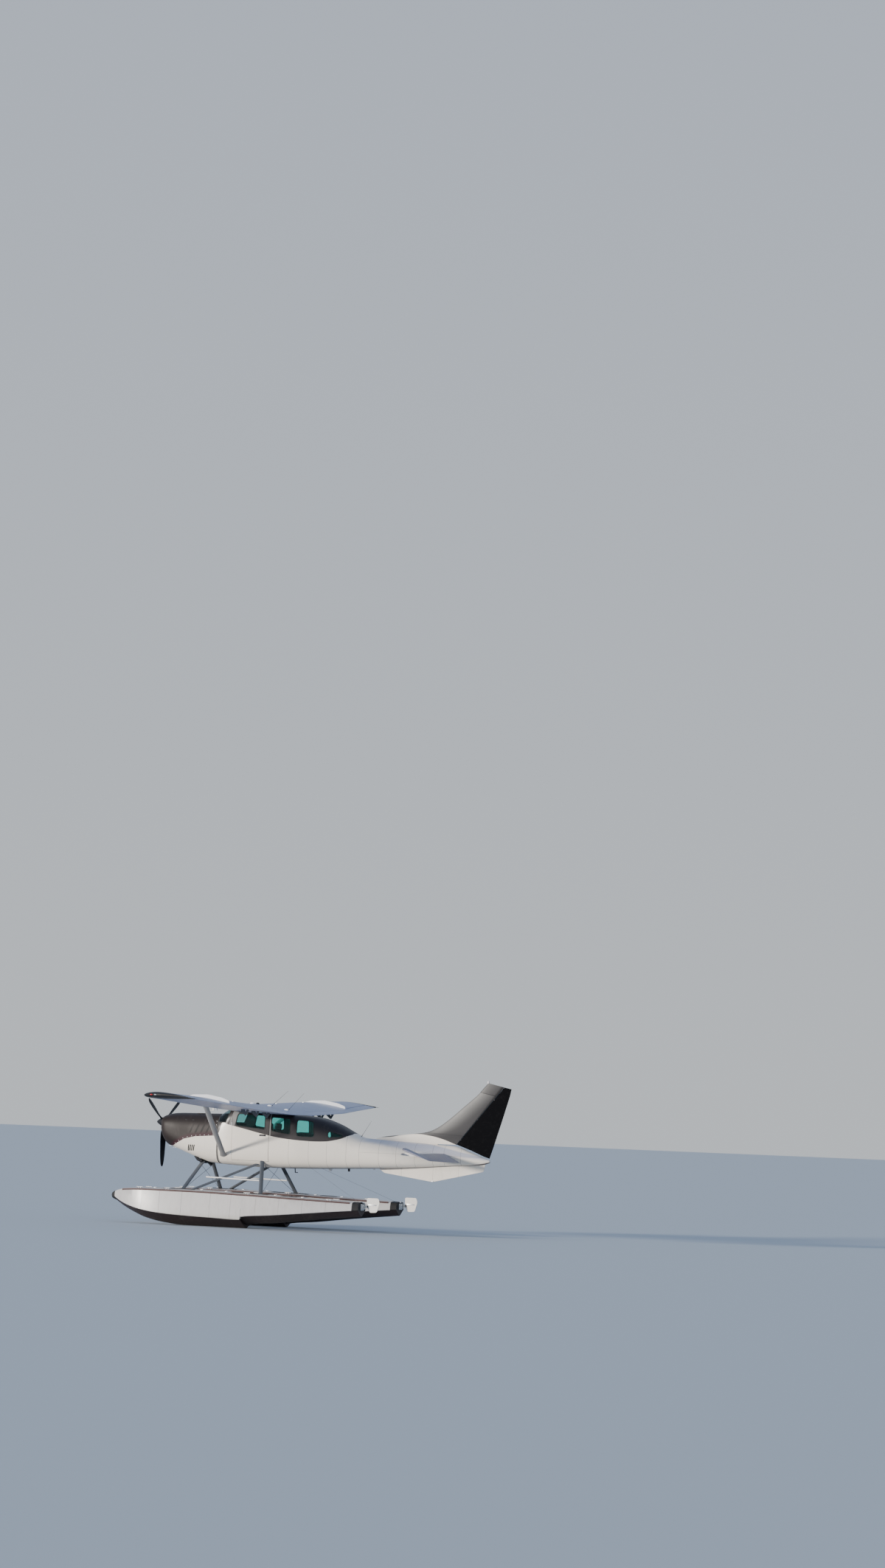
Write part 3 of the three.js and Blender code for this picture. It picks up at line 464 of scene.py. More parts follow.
chineLine = [(-0.38, 0.575), (-0.18, 0.48), (0.06, 0.398), (0.4, 0.32), (0.85, 0.264), (1.4, 0.234),
             (2.1, 0.214), (2.84, 0.2), (2.86, 0.262), (3.6, 0.33), (4.5, 0.42), (5.3, 0.5), (5.6, 0.524)]


# Rows of small domed heads along a line of constant place, spaced along another
def rivets(place, along, pitch, spacing, radius=0.0028):
    across = place.every(pitch)
    down = along.every(spacing)
    return (across * across + down * down).op("SQRT").step(radius, radius * 0.4)


# Gloss over sheet metal; the lines function gives seams, rivet heads, a tone and added roughness
def paintedSkin(name, colour, lines):
    paint = Finish(name, coat=0.15, coatRoughness=0.2, specular=0.4)
    x, y, z = paint.axes()
    shade = paint.noise(0.9)
    fine = paint.noise(14, 3, 0.6, (1, 1, 0.35))
    dirt = (fine * shade).step(0.24, 0.42)
    seams, heads, tone, dullness = lines(paint, tipX - x, y, z)
    body = paint.mix(dirt * 0.1, tone(colour), grime)
    body = paint.mix(seams * 0.72, body, (0.05, 0.045, 0.04))
    body = paint.mix(heads * 0.16, body, (0.12, 0.11, 0.1))
    paint.set(colour=body, roughness=shade * 0.16 + fine * 0.1 + dullness + 0.24)
    paint.bump(heads * 0.7 - seams + fine * 0.03, 0.0016, 0.7)
    return paint.material


def evenTone(colour):
    return colour


def hullLines(paint, station, y, z):
    seams = station.nearAny([3.53, 4.0, 4.42, 4.87, 5.17, 5.62, 6.02, 6.45, 6.86, 7.12, 7.5], 0.0032)
    seams = seams | (z.near(1.79, 0.002) & station.step(5.16, 5.18))
    port = y.step(-0.01, 0.01)
    cargoEdges = (1 - port) & station.nearAny([3.02, 3.622, 4.16], 0.006)
    doorEdges = (port & station.near(3.042, 0.006)) | cargoEdges
    firewall = station.near(1.79, 0.011) & (1 - z.step(1.9, 1.95))
    seams = seams | (doorEdges & z.step(1.49, 1.495)) | firewall
    around = z - abs(y)
    aft = station.step(5.1, 5.2)
    heads = rivets(station - 0.012, around, 0.2, 0.032) & aft
    heads = heads | (rivets(station - 0.02, around, 0.425, 0.032) & (1 - aft))
    dark = (z - paint.line(station, bandLine)).step(-0.003, 0.003) & (1 - station.step(4.93, 4.94))
    finDark = (z - paint.line(station, finPaintLine)).step(-0.004, 0.004) & station.step(5.3, 5.32)

    def tone(colour):
        shaded = paint.mix(station.step(1.84, 1.88), charcoal, bandBlack)
        # The slanted cream door post ahead of the first window, painted grey as it looks in shade: painted
        # shade
        lean = station - z * 0.3
        shaded = paint.mix(lean.step(1.355, 1.36) & (1 - lean.step(1.497, 1.502)), shaded, postShadeGrey)
        painted = paint.mix(dark, colour, shaded)
        painted = paint.mix(dark & port & station.near(3.064, 0.01), painted, frameGrey)
        # Painted shade and sky reflection in blue-grey over the tail cone's upper side, where the wing's shadow
        # falls
        shoulder = (z - paint.line(station, skyShadeLow)).step(-0.04, 0.05) & station.step(5.0, 5.4)
        shoulder = shoulder & (1 - (z - paint.line(station, skyShadeHigh)).step(-0.02, 0.02))
        painted = paint.mix(shoulder * 0.6, painted, skyShadeBlue)
        belly = (paint.line(station, bellyLine) - z).step(-0.002, 0.006) & station.step(2.6, 3.0)
        painted = paint.mix(belly * 0.85, painted, maroon)
        return paint.mix(finDark, painted, graphite)

    return seams * (1 - dark * 0.6), heads * (1 - dark), tone, dark * 0.22


def ventralLines(paint, station, y, z):
    return station.nearAny([6.06, 6.81, 7.42], 0.0025), rivets(station, z - 0.01, 0.18, 0.03), evenTone, 0.0


def tailLines(paint, station, y, z):
    out = abs(y)
    seams = (station - out * 0.2175).near(6.5, 0.002) | out.nearAny([0.42, 0.8, 1.18, 1.56], 0.0018)
    return seams, rivets(out - 0.02, station, 0.19, 0.032), evenTone, 0.0


# Seams at shares of the wing's chord, worked out from the taper that starts outboard of the strut
def wingLines(paint, station, y, z):
    out = abs(y)
    taper = (out - 2.54).op("MAXIMUM", 0)
    share = (station - (taper * 0.0584 + 1.95)) / (taper * -0.1715 + 1.64)
    seams = share.near(0.13, 0.0015) | share.nearAny([0.32, 0.68], 0.0013)
    ribs = out.nearAny([0.98, 1.38, 1.79, 2.2, 2.54, 3.1, 3.66, 4.2, 4.72, 5.24], 0.0018)
    seams = seams | (ribs & share.step(0.12, 0.125))
    heads = rivets(out, station, 0.205, 0.034) | rivets(share - 0.325, out, 0.18, 0.034, 0.0022)
    tips = out.step(5.235, 5.24)

    def tone(colour):
        return paint.mix(tips, colour, deepBlack)

    return seams * (1 - tips * 0.7), heads * (1 - tips), tone, tips * 0.3


def floatLines(paint, station, y, z):
    off = abs(abs(y) - floatY)
    seams = station.nearAny([0.4, 0.85, 1.4, 2.1, 2.6, 3.2, 3.75, 4.3, 4.85], 0.003)
    sideHeads = rivets(z - 0.01, station, 0.11, 0.03) & off.step(0.2, 0.22)
    heads = rivets(station, z - off, 0.14, 0.03) | sideHeads
    scum = (paint.noise(5, 5, 0.7, (1, 1, 3)) * 0.08 + 0.3 - z).step(0.02, 0.12)
    mottle = paint.noise(7, 5, 0.75, (1.6, 1, 0.35)).step(0.42, 0.7)
    stern = station.step(5.452, 5.455)
    bottom = (paint.line(station, chineLine) - z).step(0.004, 0.012)
    dark = stern | bottom

    def tone(colour):
        stained = paint.mix(mottle * 0.3, colour, (0.4, 0.375, 0.36))
        stained = paint.mix(scum * 0.4, stained, (0.36, 0.34, 0.27))
        return paint.mix(dark, stained, paint.mix(bottom, deepBlack, bottomRed))

    return seams * (1 - stern), heads * (1 - stern), tone, dark * 0.3


def cowlPaint():
    paint = Finish("cowlPaint", coat=0.05, coatRoughness=0.35, specular=0.22)
    x, y, z = paint.axes()
    station = tipX - x
    lip = (z - paint.line(station, cowlEdge)).step(0.13, 0.015)
    # Lighter streaks over the cowl, and slanted light and dark stripes on its upper rear, are painted
    # reflections
    sheenStreaks = paint.noise(7, 2, 0.5, (1.6, 0.4, 0.55))
    cheek = (z - 2.04).step(0, 0.05) * (2.32 - z).step(0, 0.12) * station.step(0.95, 1.1)
    reflectedStripes = ((station - z * 0.43) * 46).op("SINE").step(0.1, 0.9)
    shade = paint.noise(2.2)
    body = paint.mix(shade * 0.7, (0.026, 0.019, 0.017), (0.017, 0.012, 0.011))
    body = paint.mix((1 - reflectedStripes * cheek) * cheek * 0.5, body, (0.07, 0.058, 0.053))
    body = paint.mix(reflectedStripes * cheek * 0.8, body, (0.006, 0.005, 0.005))
    body = paint.mix(sheenStreaks.step(0.55, 0.8) * 0.25, body, (0.08, 0.065, 0.06))
    body = paint.mix(lip, body, (0.045, 0.014, 0.02))
    paint.set(colour=body, roughness=shade * 0.2 + 0.42)
    paint.bump(rivets(station - 0.03, z, 0.24, 0.05, 0.004) * 0.6 + sheenStreaks * 0.1, 0.0016, 0.6)
    return paint.material


def finPaint():
    paint = Finish("finPaint", coat=0.05, coatRoughness=0.3, specular=0.25)
    x, y, z = paint.axes()
    station = tipX - x
    shade = paint.noise(1.6)
    upper = 1 - (z - paint.line(station, finPaintLine)).step(0.004, -0.004)
    rear = (station - (z * 0.76 + 5.8)).step(-0.03, 0.03)
    body = paint.mix(shade * 0.6, (0.046, 0.044, 0.046), (0.026, 0.025, 0.027))
    body = paint.mix(rear, body, deepBlack)
    body = paint.mix(1 - upper, body, cream)
    capLine = z + station * 0.195
    seam = capLine.near(4.761, 0.008) | (z + station * 0.05).near(2.62, 0.003)
    cap = capLine.step(4.76, 4.765) * upper
    # A painted highlight: the fin's skin grows paler towards its leading edge, less so on the cap
    pale = (station - paint.line(z, finFront)).step(0.52, 0.04) * upper
    body = paint.mix(pale * (1 - cap * 0.7) * (1 - rear) * 0.7, body, (0.2, 0.195, 0.185))
    body = paint.mix(seam * upper * 0.85, body, (0.006, 0.006, 0.007))
    paint.set(colour=body, roughness=shade * 0.2 + 0.32)
    paint.bump(rivets(z, station, 0.21, 0.034) * 0.6 - seam, 0.0016, 0.6)
    return paint.material


# Pressed ribs that run fore and aft on the control surfaces
def beadedSkin(name, colour, pitch, depth=0.006, alongY=True, dark=False):
    paint = Finish(name, coat=0.0 if dark else 0.2, coatRoughness=0.2, specular=0.04 if dark else 0.4)
    x, y, z = paint.axes()
    beads = (y if alongY else z).every(pitch).step(pitch * 0.5, pitch * 0.12)
    shade = paint.noise(1.3)
    fine = paint.noise(15, 3)
    body = paint.mix(fine.step(0.5, 0.8) * 0.12, colour, graphite if dark else grime)
    paint.set(colour=body, roughness=shade * 0.2 + (0.6 if dark else 0.3))
    paint.bump(beads + fine * 0.02, depth, 0.8)
    return paint.material


def strutPaint(name, colour):
    paint = Finish(name, coat=0.2)
    shade = paint.noise(3)
    worn = paint.noise(30, 4, 0.7).step(0.62, 0.75)
    body = paint.mix(shade * 0.5, colour, tuple(c * 0.75 for c in colour))
    paint.set(colour=paint.mix(worn * 0.35, body, grime), roughness=shade * 0.25 + 0.25)
    paint.bump(worn * -1.0, 0.0006, 0.4)
    return paint.material


def simple(name, colour, roughness=0.5, metallic=0.0, grain=40, depth=0.0006, vary=0.35, **more):
    paint = Finish(name, metallic=metallic, **more)
    fine = paint.noise(grain, 4, 0.65)
    broad = paint.noise(grain / 9, 3, 0.5)
    lighter = tuple(min(1, c * (1 + vary) + 0.004) for c in colour)
    tone = paint.mix(fine * 0.5 + broad * 0.4, colour, lighter)
    paint.set(colour=tone, roughness=broad * 0.24 + roughness - 0.12)
    paint.bump(fine, depth, 0.5)
    return paint.material


def lensFinish(name, colour, alpha):
    paint = Finish(name, colour=colour, alpha=alpha, ior=1.49)
    paint.set(roughness=paint.noise(4) * 0.05 + 0.02)
    return paint.material


def tintedPane(name, colour):
    paint = Finish(name, colour=colour, transmission=1.0, ior=1.3)
    paint.set(roughness=paint.noise(4) * 0.03)
    return paint.material


hullPaint = paintedSkin("hullPaint", cream, hullLines)
wingPaint = paintedSkin("wingPaint", skyShadeBlue, wingLines)
floatPaint = paintedSkin("floatPaint", (0.53, 0.51, 0.5), floatLines)
tailPaint = paintedSkin("tailPaint", (0.72, 0.69, 0.66), tailLines)
ventralPaint = paintedSkin("ventralPaint", cream, ventralLines)
darkCowl = cowlPaint()
darkFin = finPaint()
# The ailerons, flaps and elevator are white, painted in the blue-grey of their shade and the sky they reflect,
# the elevator darker still: painted shade and reflection
controlPaint = beadedSkin("controlPaint", (0.33, 0.37, 0.52), 0.115)
elevatorPaint = beadedSkin("elevatorPaint", (0.21, 0.21, 0.28), 0.115)
rudderPaint = beadedSkin("rudderPaint", deepBlack, 0.12, 0.0012, alongY=False, dark=True)
greyPaint = strutPaint("strutPaint", (0.41, 0.39, 0.37))
# The float struts' grey, partly their own dark paint and partly painted shade, so that the struts in shade read
# near black
gearGrey = strutPaint("gearGrey", (0.085, 0.095, 0.11))
paleBar = strutPaint("paleBar", (0.9, 0.89, 0.87))
fencePaint = simple("fencePaint", (0.9, 0.9, 0.9), 0.3, grain=20, vary=0.04)
propBlack = simple("propBlack", (0.012, 0.013, 0.017), 0.6, specular=0.18)
rubber = simple("rubber", (0.012, 0.012, 0.012), 0.75, grain=60, depth=0.001)
railBrown = simple("railBrown", (0.07, 0.035, 0.032), 0.6, grain=30)
walkGrip = simple("walkGrip", (0.06, 0.055, 0.055), 0.95, grain=220, depth=0.003)
alloy = simple("alloy", (0.55, 0.56, 0.57), 0.4, 0.85, grain=30)
paleAlloy = simple("paleAlloy", (0.66, 0.64, 0.6), 0.45, 0.1, grain=18)
wireSteel = simple("wireSteel", (0.14, 0.14, 0.15), 0.45, 0.8, grain=60)
castings = simple("castings", (0.1, 0.1, 0.11), 0.6, 0.4, grain=50, depth=0.002)
leather = simple("leather", (0.05, 0.05, 0.055), 0.55, grain=120, depth=0.0012)
carpet = simple("carpet", (0.03, 0.03, 0.034), 0.95, grain=260, depth=0.004, sheen=0.3)
panelBlack = simple("panelBlack", (0.02, 0.02, 0.022), 0.6, grain=150, depth=0.0008)
innerTrim = simple("innerTrim", (0.16, 0.155, 0.15), 0.7, grain=120, depth=0.0008)
tealGlass = tintedPane("tealGlass", (0.34, 0.86, 0.8))
greyGlass = tintedPane("greyGlass", (0.5, 0.62, 0.62))
clearLens = lensFinish("clearLens", (0.85, 0.88, 0.9), 0.6)
redLens = lensFinish("redLens", (0.6, 0.01, 0.01), 0.85)
greenLens = lensFinish("greenLens", (0.01, 0.4, 0.12), 0.85)
beaconLens = lensFinish("beaconLens", (0.85, 0.8, 0.78), 0.9)
print("finishes done")

# Fuselage: each section is two half superellipses that meet at the widest line
sectionColumns = "station halfWidth bottom top waist squareTop squareBottom"
hullRows = Table(sectionColumns, [
    (1.74, 0.524, 1.392, 2.53, 1.95, 3.6, 3.8), (1.9, 0.544, 1.382, 2.622, 1.93, 4.5, 4),
    (2.06, 0.556, 1.375, 2.672, 1.9, 6.5, 4), (2.4, 0.564, 1.362, 2.65, 1.88, 8, 4),
    (2.95, 0.567, 1.352, 2.612, 1.88, 8, 4), (3.6, 0.563, 1.361, 2.562, 1.88, 7, 4),
    (4.03, 0.528, 1.373, 2.528, 1.87, 4.8, 3.8), (4.47, 0.48, 1.39, 2.41, 1.84, 3.4, 3.6),
    (4.92, 0.425, 1.411, 2.205, 1.8, 2.8, 3.4), (5.17, 0.397, 1.422, 2.112, 1.79, 2.6, 3.2),
    (5.65, 0.345, 1.446, 2.088, 1.785, 2.5, 3), (6.4, 0.265, 1.497, 2.054, 1.79, 2.4, 2.8),
    (7, 0.201, 1.545, 2.026, 1.795, 2.4, 2.6), (7.34, 0.165, 1.572, 2.008, 1.8, 2.3, 2.5),
    (7.7, 0.125, 1.598, 1.888, 1.762, 2.3, 2.4), (8, 0.084, 1.624, 1.782, 1.716, 2.2, 2.2),
    (8.14, 0.04, 1.672, 1.738, 1.706, 2, 2)])
cowlRows = Table(sectionColumns, [
    (0.216, 0.172, 2.183, 2.39, 2.286, 2.2, 2.2), (0.24, 0.285, 2.06, 2.412, 2.262, 2.4, 2.4),
    (0.3, 0.392, 1.9, 2.442, 2.215, 2.7, 2.5), (0.39, 0.446, 1.782, 2.47, 2.17, 2.9, 2.6),
    (0.52, 0.47, 1.728, 2.498, 2.12, 3.1, 2.8), (0.67, 0.486, 1.682, 2.51, 2.07, 3.2, 3),
    (0.9, 0.5, 1.602, 2.516, 2.02, 3.3, 3.2), (1.23, 0.511, 1.487, 2.52, 1.975, 3.4, 3.4),
    (1.5, 0.518, 1.414, 2.524, 1.955, 3.5, 3.6), (1.738, 0.524, 1.392, 2.53, 1.95, 3.6, 3.8)])
hull = {"sides": 72, "step": 0.07, "wall": 0.03, "cabinStart": 1.775, "cabinEnd": 5.17, "coneEnd": 8.14,
        "middle": 1.95, "glass": (-0.004, -0.012), "windowCorner": 0.05, "doorGap": 0.005, "doorCorner": 0.012,
        "reach": 0.75}
seal = {"skin": (0.003, -0.004), "outer": -0.012, "inner": 0.005}
windowOutlines = {
    "first": [(2.205, 2.275), (2.262, 2.54), (2.93, 2.518), (2.93, 2.208)],
    "second": [(3.09, 2.18), (3.09, 2.492), (3.55, 2.47), (3.55, 2.118)],
    "third": [(3.705, 2.085), (3.705, 2.452), (4.08, 2.43), (4.12, 2.08)],
    "fourth": [(4.43, 2.085), (4.43, 2.225), (4.6, 2.196), (4.805, 2.12)],
}
windshieldOutline = [(1.6, 2.34), (1.95, 2.34), (2.062, 2.59), (2.05, 2.8), (1.6, 2.8)]
# Doors: the handle and the hinge line are stations, the handle with its height
doors = {
    "pilot": {"side": 1, "window": "first", "node": "door_pilot", "body": "pilot_door",
              "handle": (2.885, 2.075), "hinge": 2.116,
              "outline": [(2.12, 1.495), (2.12, 2.566), (3.04, 2.54), (3.04, 1.495)]},
    "cargoFront": {"side": -1, "window": "second", "node": "door_cargo_front", "body": "cargo_door_front",
                   "handle": (3.53, 1.93), "hinge": 3.018,
                   "outline": [(3.022, 1.495), (3.022, 2.536), (3.617, 2.5), (3.617, 1.495)]},
    "cargoRear": {"side": -1, "window": "third", "node": "door_cargo_rear", "body": "cargo_door_rear",
                  "handle": (3.72, 1.93), "hinge": 4.162,
                  "outline": [(3.627, 1.495), (3.627, 2.5), (4.158, 2.425), (4.158, 1.495)]},
}
paneBodies = {(door["window"], door["side"]): door["body"] for door in doors.values()}


def sectionRing(row, grow, sides):
    ring = []
    for i in range(sides):
        angle = (i + 0.5) / sides * 2 * math.pi
        side, rise = math.cos(angle), math.sin(angle)
        power = 2 / (row.squareTop if rise > 0 else row.squareBottom)
        reach = (row.top - row.waist if rise > 0 else row.waist - row.bottom) + grow
        ring.append(at(row.station, (row.halfWidth + grow) * math.copysign(abs(side) ** power, side),
                       row.waist + reach * math.copysign(abs(rise) ** power, rise)))
    return ring


def sectionPiece(rows, start, end, grow=0.0, step=None, name="section"):
    sections = rows.between(start, end, step or hull["step"])
    return pieceFrom(name, loft([sectionRing(row, grow, hull["sides"]) for row in sections]))


# Half the width of the hull or cowl at a height
def sideOf(rows, station, height):
    row = rows.at(station)
    if height > row.waist:
        reach, power = row.top - row.waist, row.squareTop
    else:
        reach, power = row.waist - row.bottom, row.squareBottom
    return row.halfWidth * (1 - min(0.999, abs(height - row.waist) / reach) ** power) ** (1 / power)


def throughHull(outline):
    return sidePrism(outline, -hull["reach"], hull["reach"])


def overSide(outline, side, corner=0.0):
    return sidePrism(outline, *((0.1, hull["reach"]) if side > 0 else (-hull["reach"], -0.1)), corner)


def windowHole(name, side, margin=0.0):
    return overSide(inset(windowOutlines[name], margin), side, hull["windowCorner"])


# The skin of the cabin between two offsets, to cut panes and seals from
def cabinLayer(offsets, step):
    outer = sectionPiece(hullRows, hull["cabinStart"], 5.0, offsets[0], step)
    return carve(outer, [sectionPiece(hullRows, 1.7, 5.05, offsets[1], step)])


# The inner faces of a cabin wall take the trim that lines it
def lineInside(piece):
    piece.data.materials.append(innerTrim)
    for face in piece.data.polygons:
        inwards = Vector((0, -face.center.y, hull["middle"] - face.center.z)).normalized()
        face.material_index = 1 if face.normal.dot(inwards) > 0.3 else 0


def buildCabin():
    room = sectionPiece(hullRows, 1.7, hull["cabinEnd"] + 0.06, -hull["wall"])
    shell = carve(sectionPiece(hullRows, hull["cabinStart"], hull["cabinEnd"], name="cabinShell"), [room])
    leaves = {name: twin(shell, name + "Door") for name in doors}
    holes = [throughHull(windshieldOutline)]
    holes += [overSide(door["outline"], door["side"]) for door in doors.values()]
    for name, side in (("second", 1), ("third", 1), ("fourth", 1), ("first", -1), ("fourth", -1)):
        holes.append(windowHole(name, side))
    carve(shell, holes)
    walls = ["cabin_roof", "cabin_belly", "cabin_side_left", "cabin_side_right"]
    dress(shell, hullPaint, walls)
    lineInside(shell)
    for name, door in doors.items():
        leaf, side = leaves[name], door["side"]
        keepInside(leaf, overSide(inset(door["outline"], hull["doorGap"]), side, hull["doorCorner"]))
        carve(leaf, [windowHole(door["window"], side)])
        dress(leaf, hullPaint, [door["node"]], door["body"])
        lineInside(leaf)


def buildGlass():
    layer = cabinLayer(hull["glass"], 0.05)
    for name in windowOutlines:
        for side, label in ((1, "left"), (-1, "right")):
            pane = keepInside(twin(layer, f"glass_{name}_{label}"), windowHole(name, side, 0.0004))
            body = paneBodies.get((name, side), "airframe")
            dress(pane, tealGlass, [f"window_{name}_{label}"], body)
    front = keepInside(twin(layer, "glassWindshield"), throughHull(inset(windshieldOutline, 0.0004)))
    dress(front, greyGlass, ["windshield"])
    bpy.data.objects.remove(layer)


def buildSeals():
    layer = cabinLayer(seal["skin"], 0.06)
    for name in windowOutlines:
        for side, label in ((1, "Left"), (-1, "Right")):
            ring = keepInside(twin(layer, name + "Seal" + label), windowHole(name, side, seal["outer"]))
            carve(ring, [windowHole(name, side, seal["inner"])])
            dress(ring, rubber, body=paneBodies.get((name, side), "airframe"))
    front = [(1.778, 2.34), *windshieldOutline[1:4], (1.778, 2.8)]
    ring = keepInside(twin(layer, "windshieldSeal"), throughHull(inset(front, -0.014)))
    carve(ring, [throughHull([(1.5, 2.346), *inset(front, 0.008)[1:4], (1.5, 2.9)])])
    dress(ring, rubber)
    bpy.data.objects.remove(layer)


def buildCone():
    cone = sectionPiece(hullRows, 5.1703, hull["coneEnd"], name="tailCone")
    hinge, half = elevator["start"].x, 0.268
    slot = filled([(rod, Vector((hinge, -half, tailHeight)), Vector((hinge, half, tailHeight)), 0.03, 24)])
    dress(carve(cone, [slot]), hullPaint, ["tail_cone"])


# The cowl: a hollow shell with a hole for the shaft and an inlet on both sides of it
cowl = {"front": 0.216, "rear": 1.7395, "wall": 0.012, "split": 0.0008, "shaftHole": 0.06,
        "inlets": ((0.15, 0.33), (-0.33, -0.15)), "inletHeights": (2.225, 2.355), "inletCorner": 0.04}


def buildCowl():
    shell = sectionPiece(cowlRows, cowl["front"], cowl["rear"], step=0.03, name="cowlLower")
    inner = sectionPiece(cowlRows, cowl["front"] + cowl["wall"], 1.78, -cowl["wall"], 0.04)
    ends = [at(station, 0, propeller["height"]) for station in (0.15, 0.3)]
    carve(shell, [inner, filled([(rod, *ends, cowl["shaftHole"], 24)])])
    bottom, top = cowl["inletHeights"]
    for low, high in cowl["inlets"]:
        carve(shell, [filled([(block, at(0.42, low, bottom), at(0.1, high, top), cowl["inletCorner"], 5)])])
    upper = twin(shell, "cowlUpper")
    above = cowlEdge + [(1.8, 2.031), (1.8, 2.8), (0.1, 2.8), (0.1, 1.86)]
    below = [(s, h - cowl["split"]) for s, h in cowlEdge] + [(1.8, 2.03), (1.8, 1.2), (0.1, 1.2), (0.1, 1.859)]
    dress(keepInside(upper, throughHull(above)), darkCowl, ["cowl_upper"])
    dress(keepInside(shell, throughHull(below)), hullPaint, ["cowl_lower"])


# Propeller and spinner; the profiles are (radius, station)
propeller = {"station": 0.17, "height": 2.285, "sides": 24, "angles": (180, 60, -60), "body": "propeller",
             "spinner": [(0, 0), (0.012, 0.0035), (0.026, 0.016), (0.045, 0.04), (0.058, 0.06), (0.07, 0.08),
                         (0.081, 0.1), (0.088, 0.1197), (0, 0.1197)],
             "hub": [(0, 0.12), (0.088, 0.12), (0.1, 0.14), (0.108, 0.165), (0.114, 0.19), (0.114, 0.208),
                     (0, 0.208)]}
bladeRows = Table("radius chord thickness pitch", [
    (0.06, 0.062, 0.058, 62), (0.15, 0.078, 0.05, 50), (0.26, 0.134, 0.032, 37), (0.46, 0.162, 0.023, 25),
    (0.72, 0.156, 0.016, 17), (0.9, 0.13, 0.011, 13), (0.985, 0.09, 0.008, 11), (1.016, 0.036, 0.005, 10)])


def turned(name, profile):
    bm = bmesh.new()
    verts = [bm.verts.new(at(s, 0, propeller["height"] + r)) for r, s in profile]
    edges = [bm.edges.new(pair) for pair in zip(verts, verts[1:])]
    bmesh.ops.spin(bm, geom=verts + edges, cent=at(0, 0, propeller["height"]), axis=(1, 0, 0),
                   angle=2 * math.pi, steps=48, use_merge=True)
    bmesh.ops.remove_doubles(bm, verts=bm.verts, dist=1e-5)
    closeUp(bm)
    return pieceFrom(name, bm)


def bladeRing(row, fromTop):
    turn = math.radians(row.pitch)
    ring = []
    for i in range(propeller["sides"]):
        angle = i / propeller["sides"] * 2 * math.pi
        along = row.chord / 2 * math.cos(angle)
        deep = row.thickness / 2 * math.sin(angle) * (1 + 0.35 * math.cos(angle))
        point = Vector((-along * math.sin(turn) + deep * math.cos(turn),
                        along * math.cos(turn) + deep * math.sin(turn), row.radius))
        ring.append(Matrix.Rotation(math.radians(fromTop), 3, "X") @ point
                    + at(propeller["station"], 0, propeller["height"]))
    return ring


def buildPropeller():
    body = propeller["body"]
    dress(turned("spinnerCone", propeller["spinner"]), propBlack, ["spinner"], body)
    dress(turned("propellerHub", propeller["hub"]), propBlack, body=body)
    rows = bladeRows.between(0.06, 1.016, 0.02)
    blades = [(joined, loft([bladeRing(row, fromTop) for row in rows])) for fromTop in propeller["angles"]]
    addPiece("propellerBlades", propBlack, blades, body, ["propeller"], 50)


# Wings; a hinge line has its lugs at shares of its length
wingRows = Table("y leading height chord incidence thickness camber", [
    (0.575, 1.95, 2.685, 1.65, 4.3, 0.12, 0.02), (2.54, 1.95, 2.757, 1.64, 4, 0.12, 0.02),
    (5.28, 2.11, 2.857, 1.17, 2.2, 0.12, 0.02), (5.37, 2.15, 2.862, 1.115, 2.2, 0.108, 0.02),
    (5.44, 2.23, 2.868, 1.01, 2.2, 0.085, 0.02), (5.48, 2.34, 2.874, 0.86, 2.2, 0.04, 0.015)], smooth=False)
wing = {"root": 0.575, "tip": 5.48, "dihedral": math.radians(2.1), "gap": 0.006, "step": 0.12,
        "chordSteps": 26}
aileron = {"span": (3.465, 5.215), "start": at(3.262, 3.461, 2.728), "end": at(3.03, 5.219, 2.832),
           "lugs": (0.12, 0.5, 0.88)}
flap = {"span": (0.62, 3.275), "face": [(3.056, 2.4), (3.6, 2.8)], "rear": [(3.9, 2.8), (3.9, 2.4)],
        "gap": 0.008, "hinge": (3.28, 2.45), "arms": (1.3, 1.9, 2.48), "half": 0.012,
        "fixedArm": [(0.014, -0.014), (0.014, 0.014), (-0.04, 0.15), (-0.13, 0.15), (-0.11, 0.07),
                     (-0.014, -0.014)],
        "movingArm": [(-0.014, -0.014), (0.016, -0.014), (0.075, 0.09), (0.066, 0.13), (0.022, 0.118),
                      (-0.014, 0.014)]}
lug = {"radius": 0.014, "half": 0.008, "clear": 0.0003, "slot": 0.026}
fence = {"y": 3.371, "half": 0.008, "outline": [(2.205, 2.8), (2.235, 2.87), (2.41, 2.92), (2.75, 2.93),
                                               (3.09, 2.874), (3.268, 2.808), (3.275, 2.72), (2.3, 2.72)]}


# A point of the section's skin at a share of its chord, on its upper side for 1 and its lower side for -1
def foilPoint(row, share, side):
    turn = math.radians(row.incidence)
    half = 5 * row.thickness * (0.2969 * math.sqrt(share) - 0.126 * share - 0.3516 * share**2
                                + 0.2843 * share**3 - 0.099 * share**4)
    if share < 0.4:
        line = row.camber / 0.16 * (0.8 * share - share**2)
    else:
        line = row.camber / 0.36 * (0.2 + 0.8 * share - share**2)
    rise = row.chord * (line + side * half)
    return at(row.leading + row.chord * share * math.cos(turn) + rise * math.sin(turn), row.y,
              row.height - row.chord * share * math.sin(turn) + rise * math.cos(turn))


def spanPiece(rows, name="span"):
    steps = wing["chordSteps"]
    shares = [((1 - math.cos(math.pi * i / steps)) / 2, 1 if i >= 0 else -1)
              for i in range(-steps, steps + 1)]
    return pieceFrom(name, loft([[foilPoint(row, *share) for share in shares] for row in rows]), 40)


def wingRow(key, y):
    row = wingRows.at(key)
    row.y = y
    return row


# A point on the wing's skin; inboard of its root it is the wing's middle
def onWing(station, y, side=1):
    row = wingRow(max(wing["root"], abs(y)), y)
    return foilPoint(row, (station - row.leading) / row.chord, side)


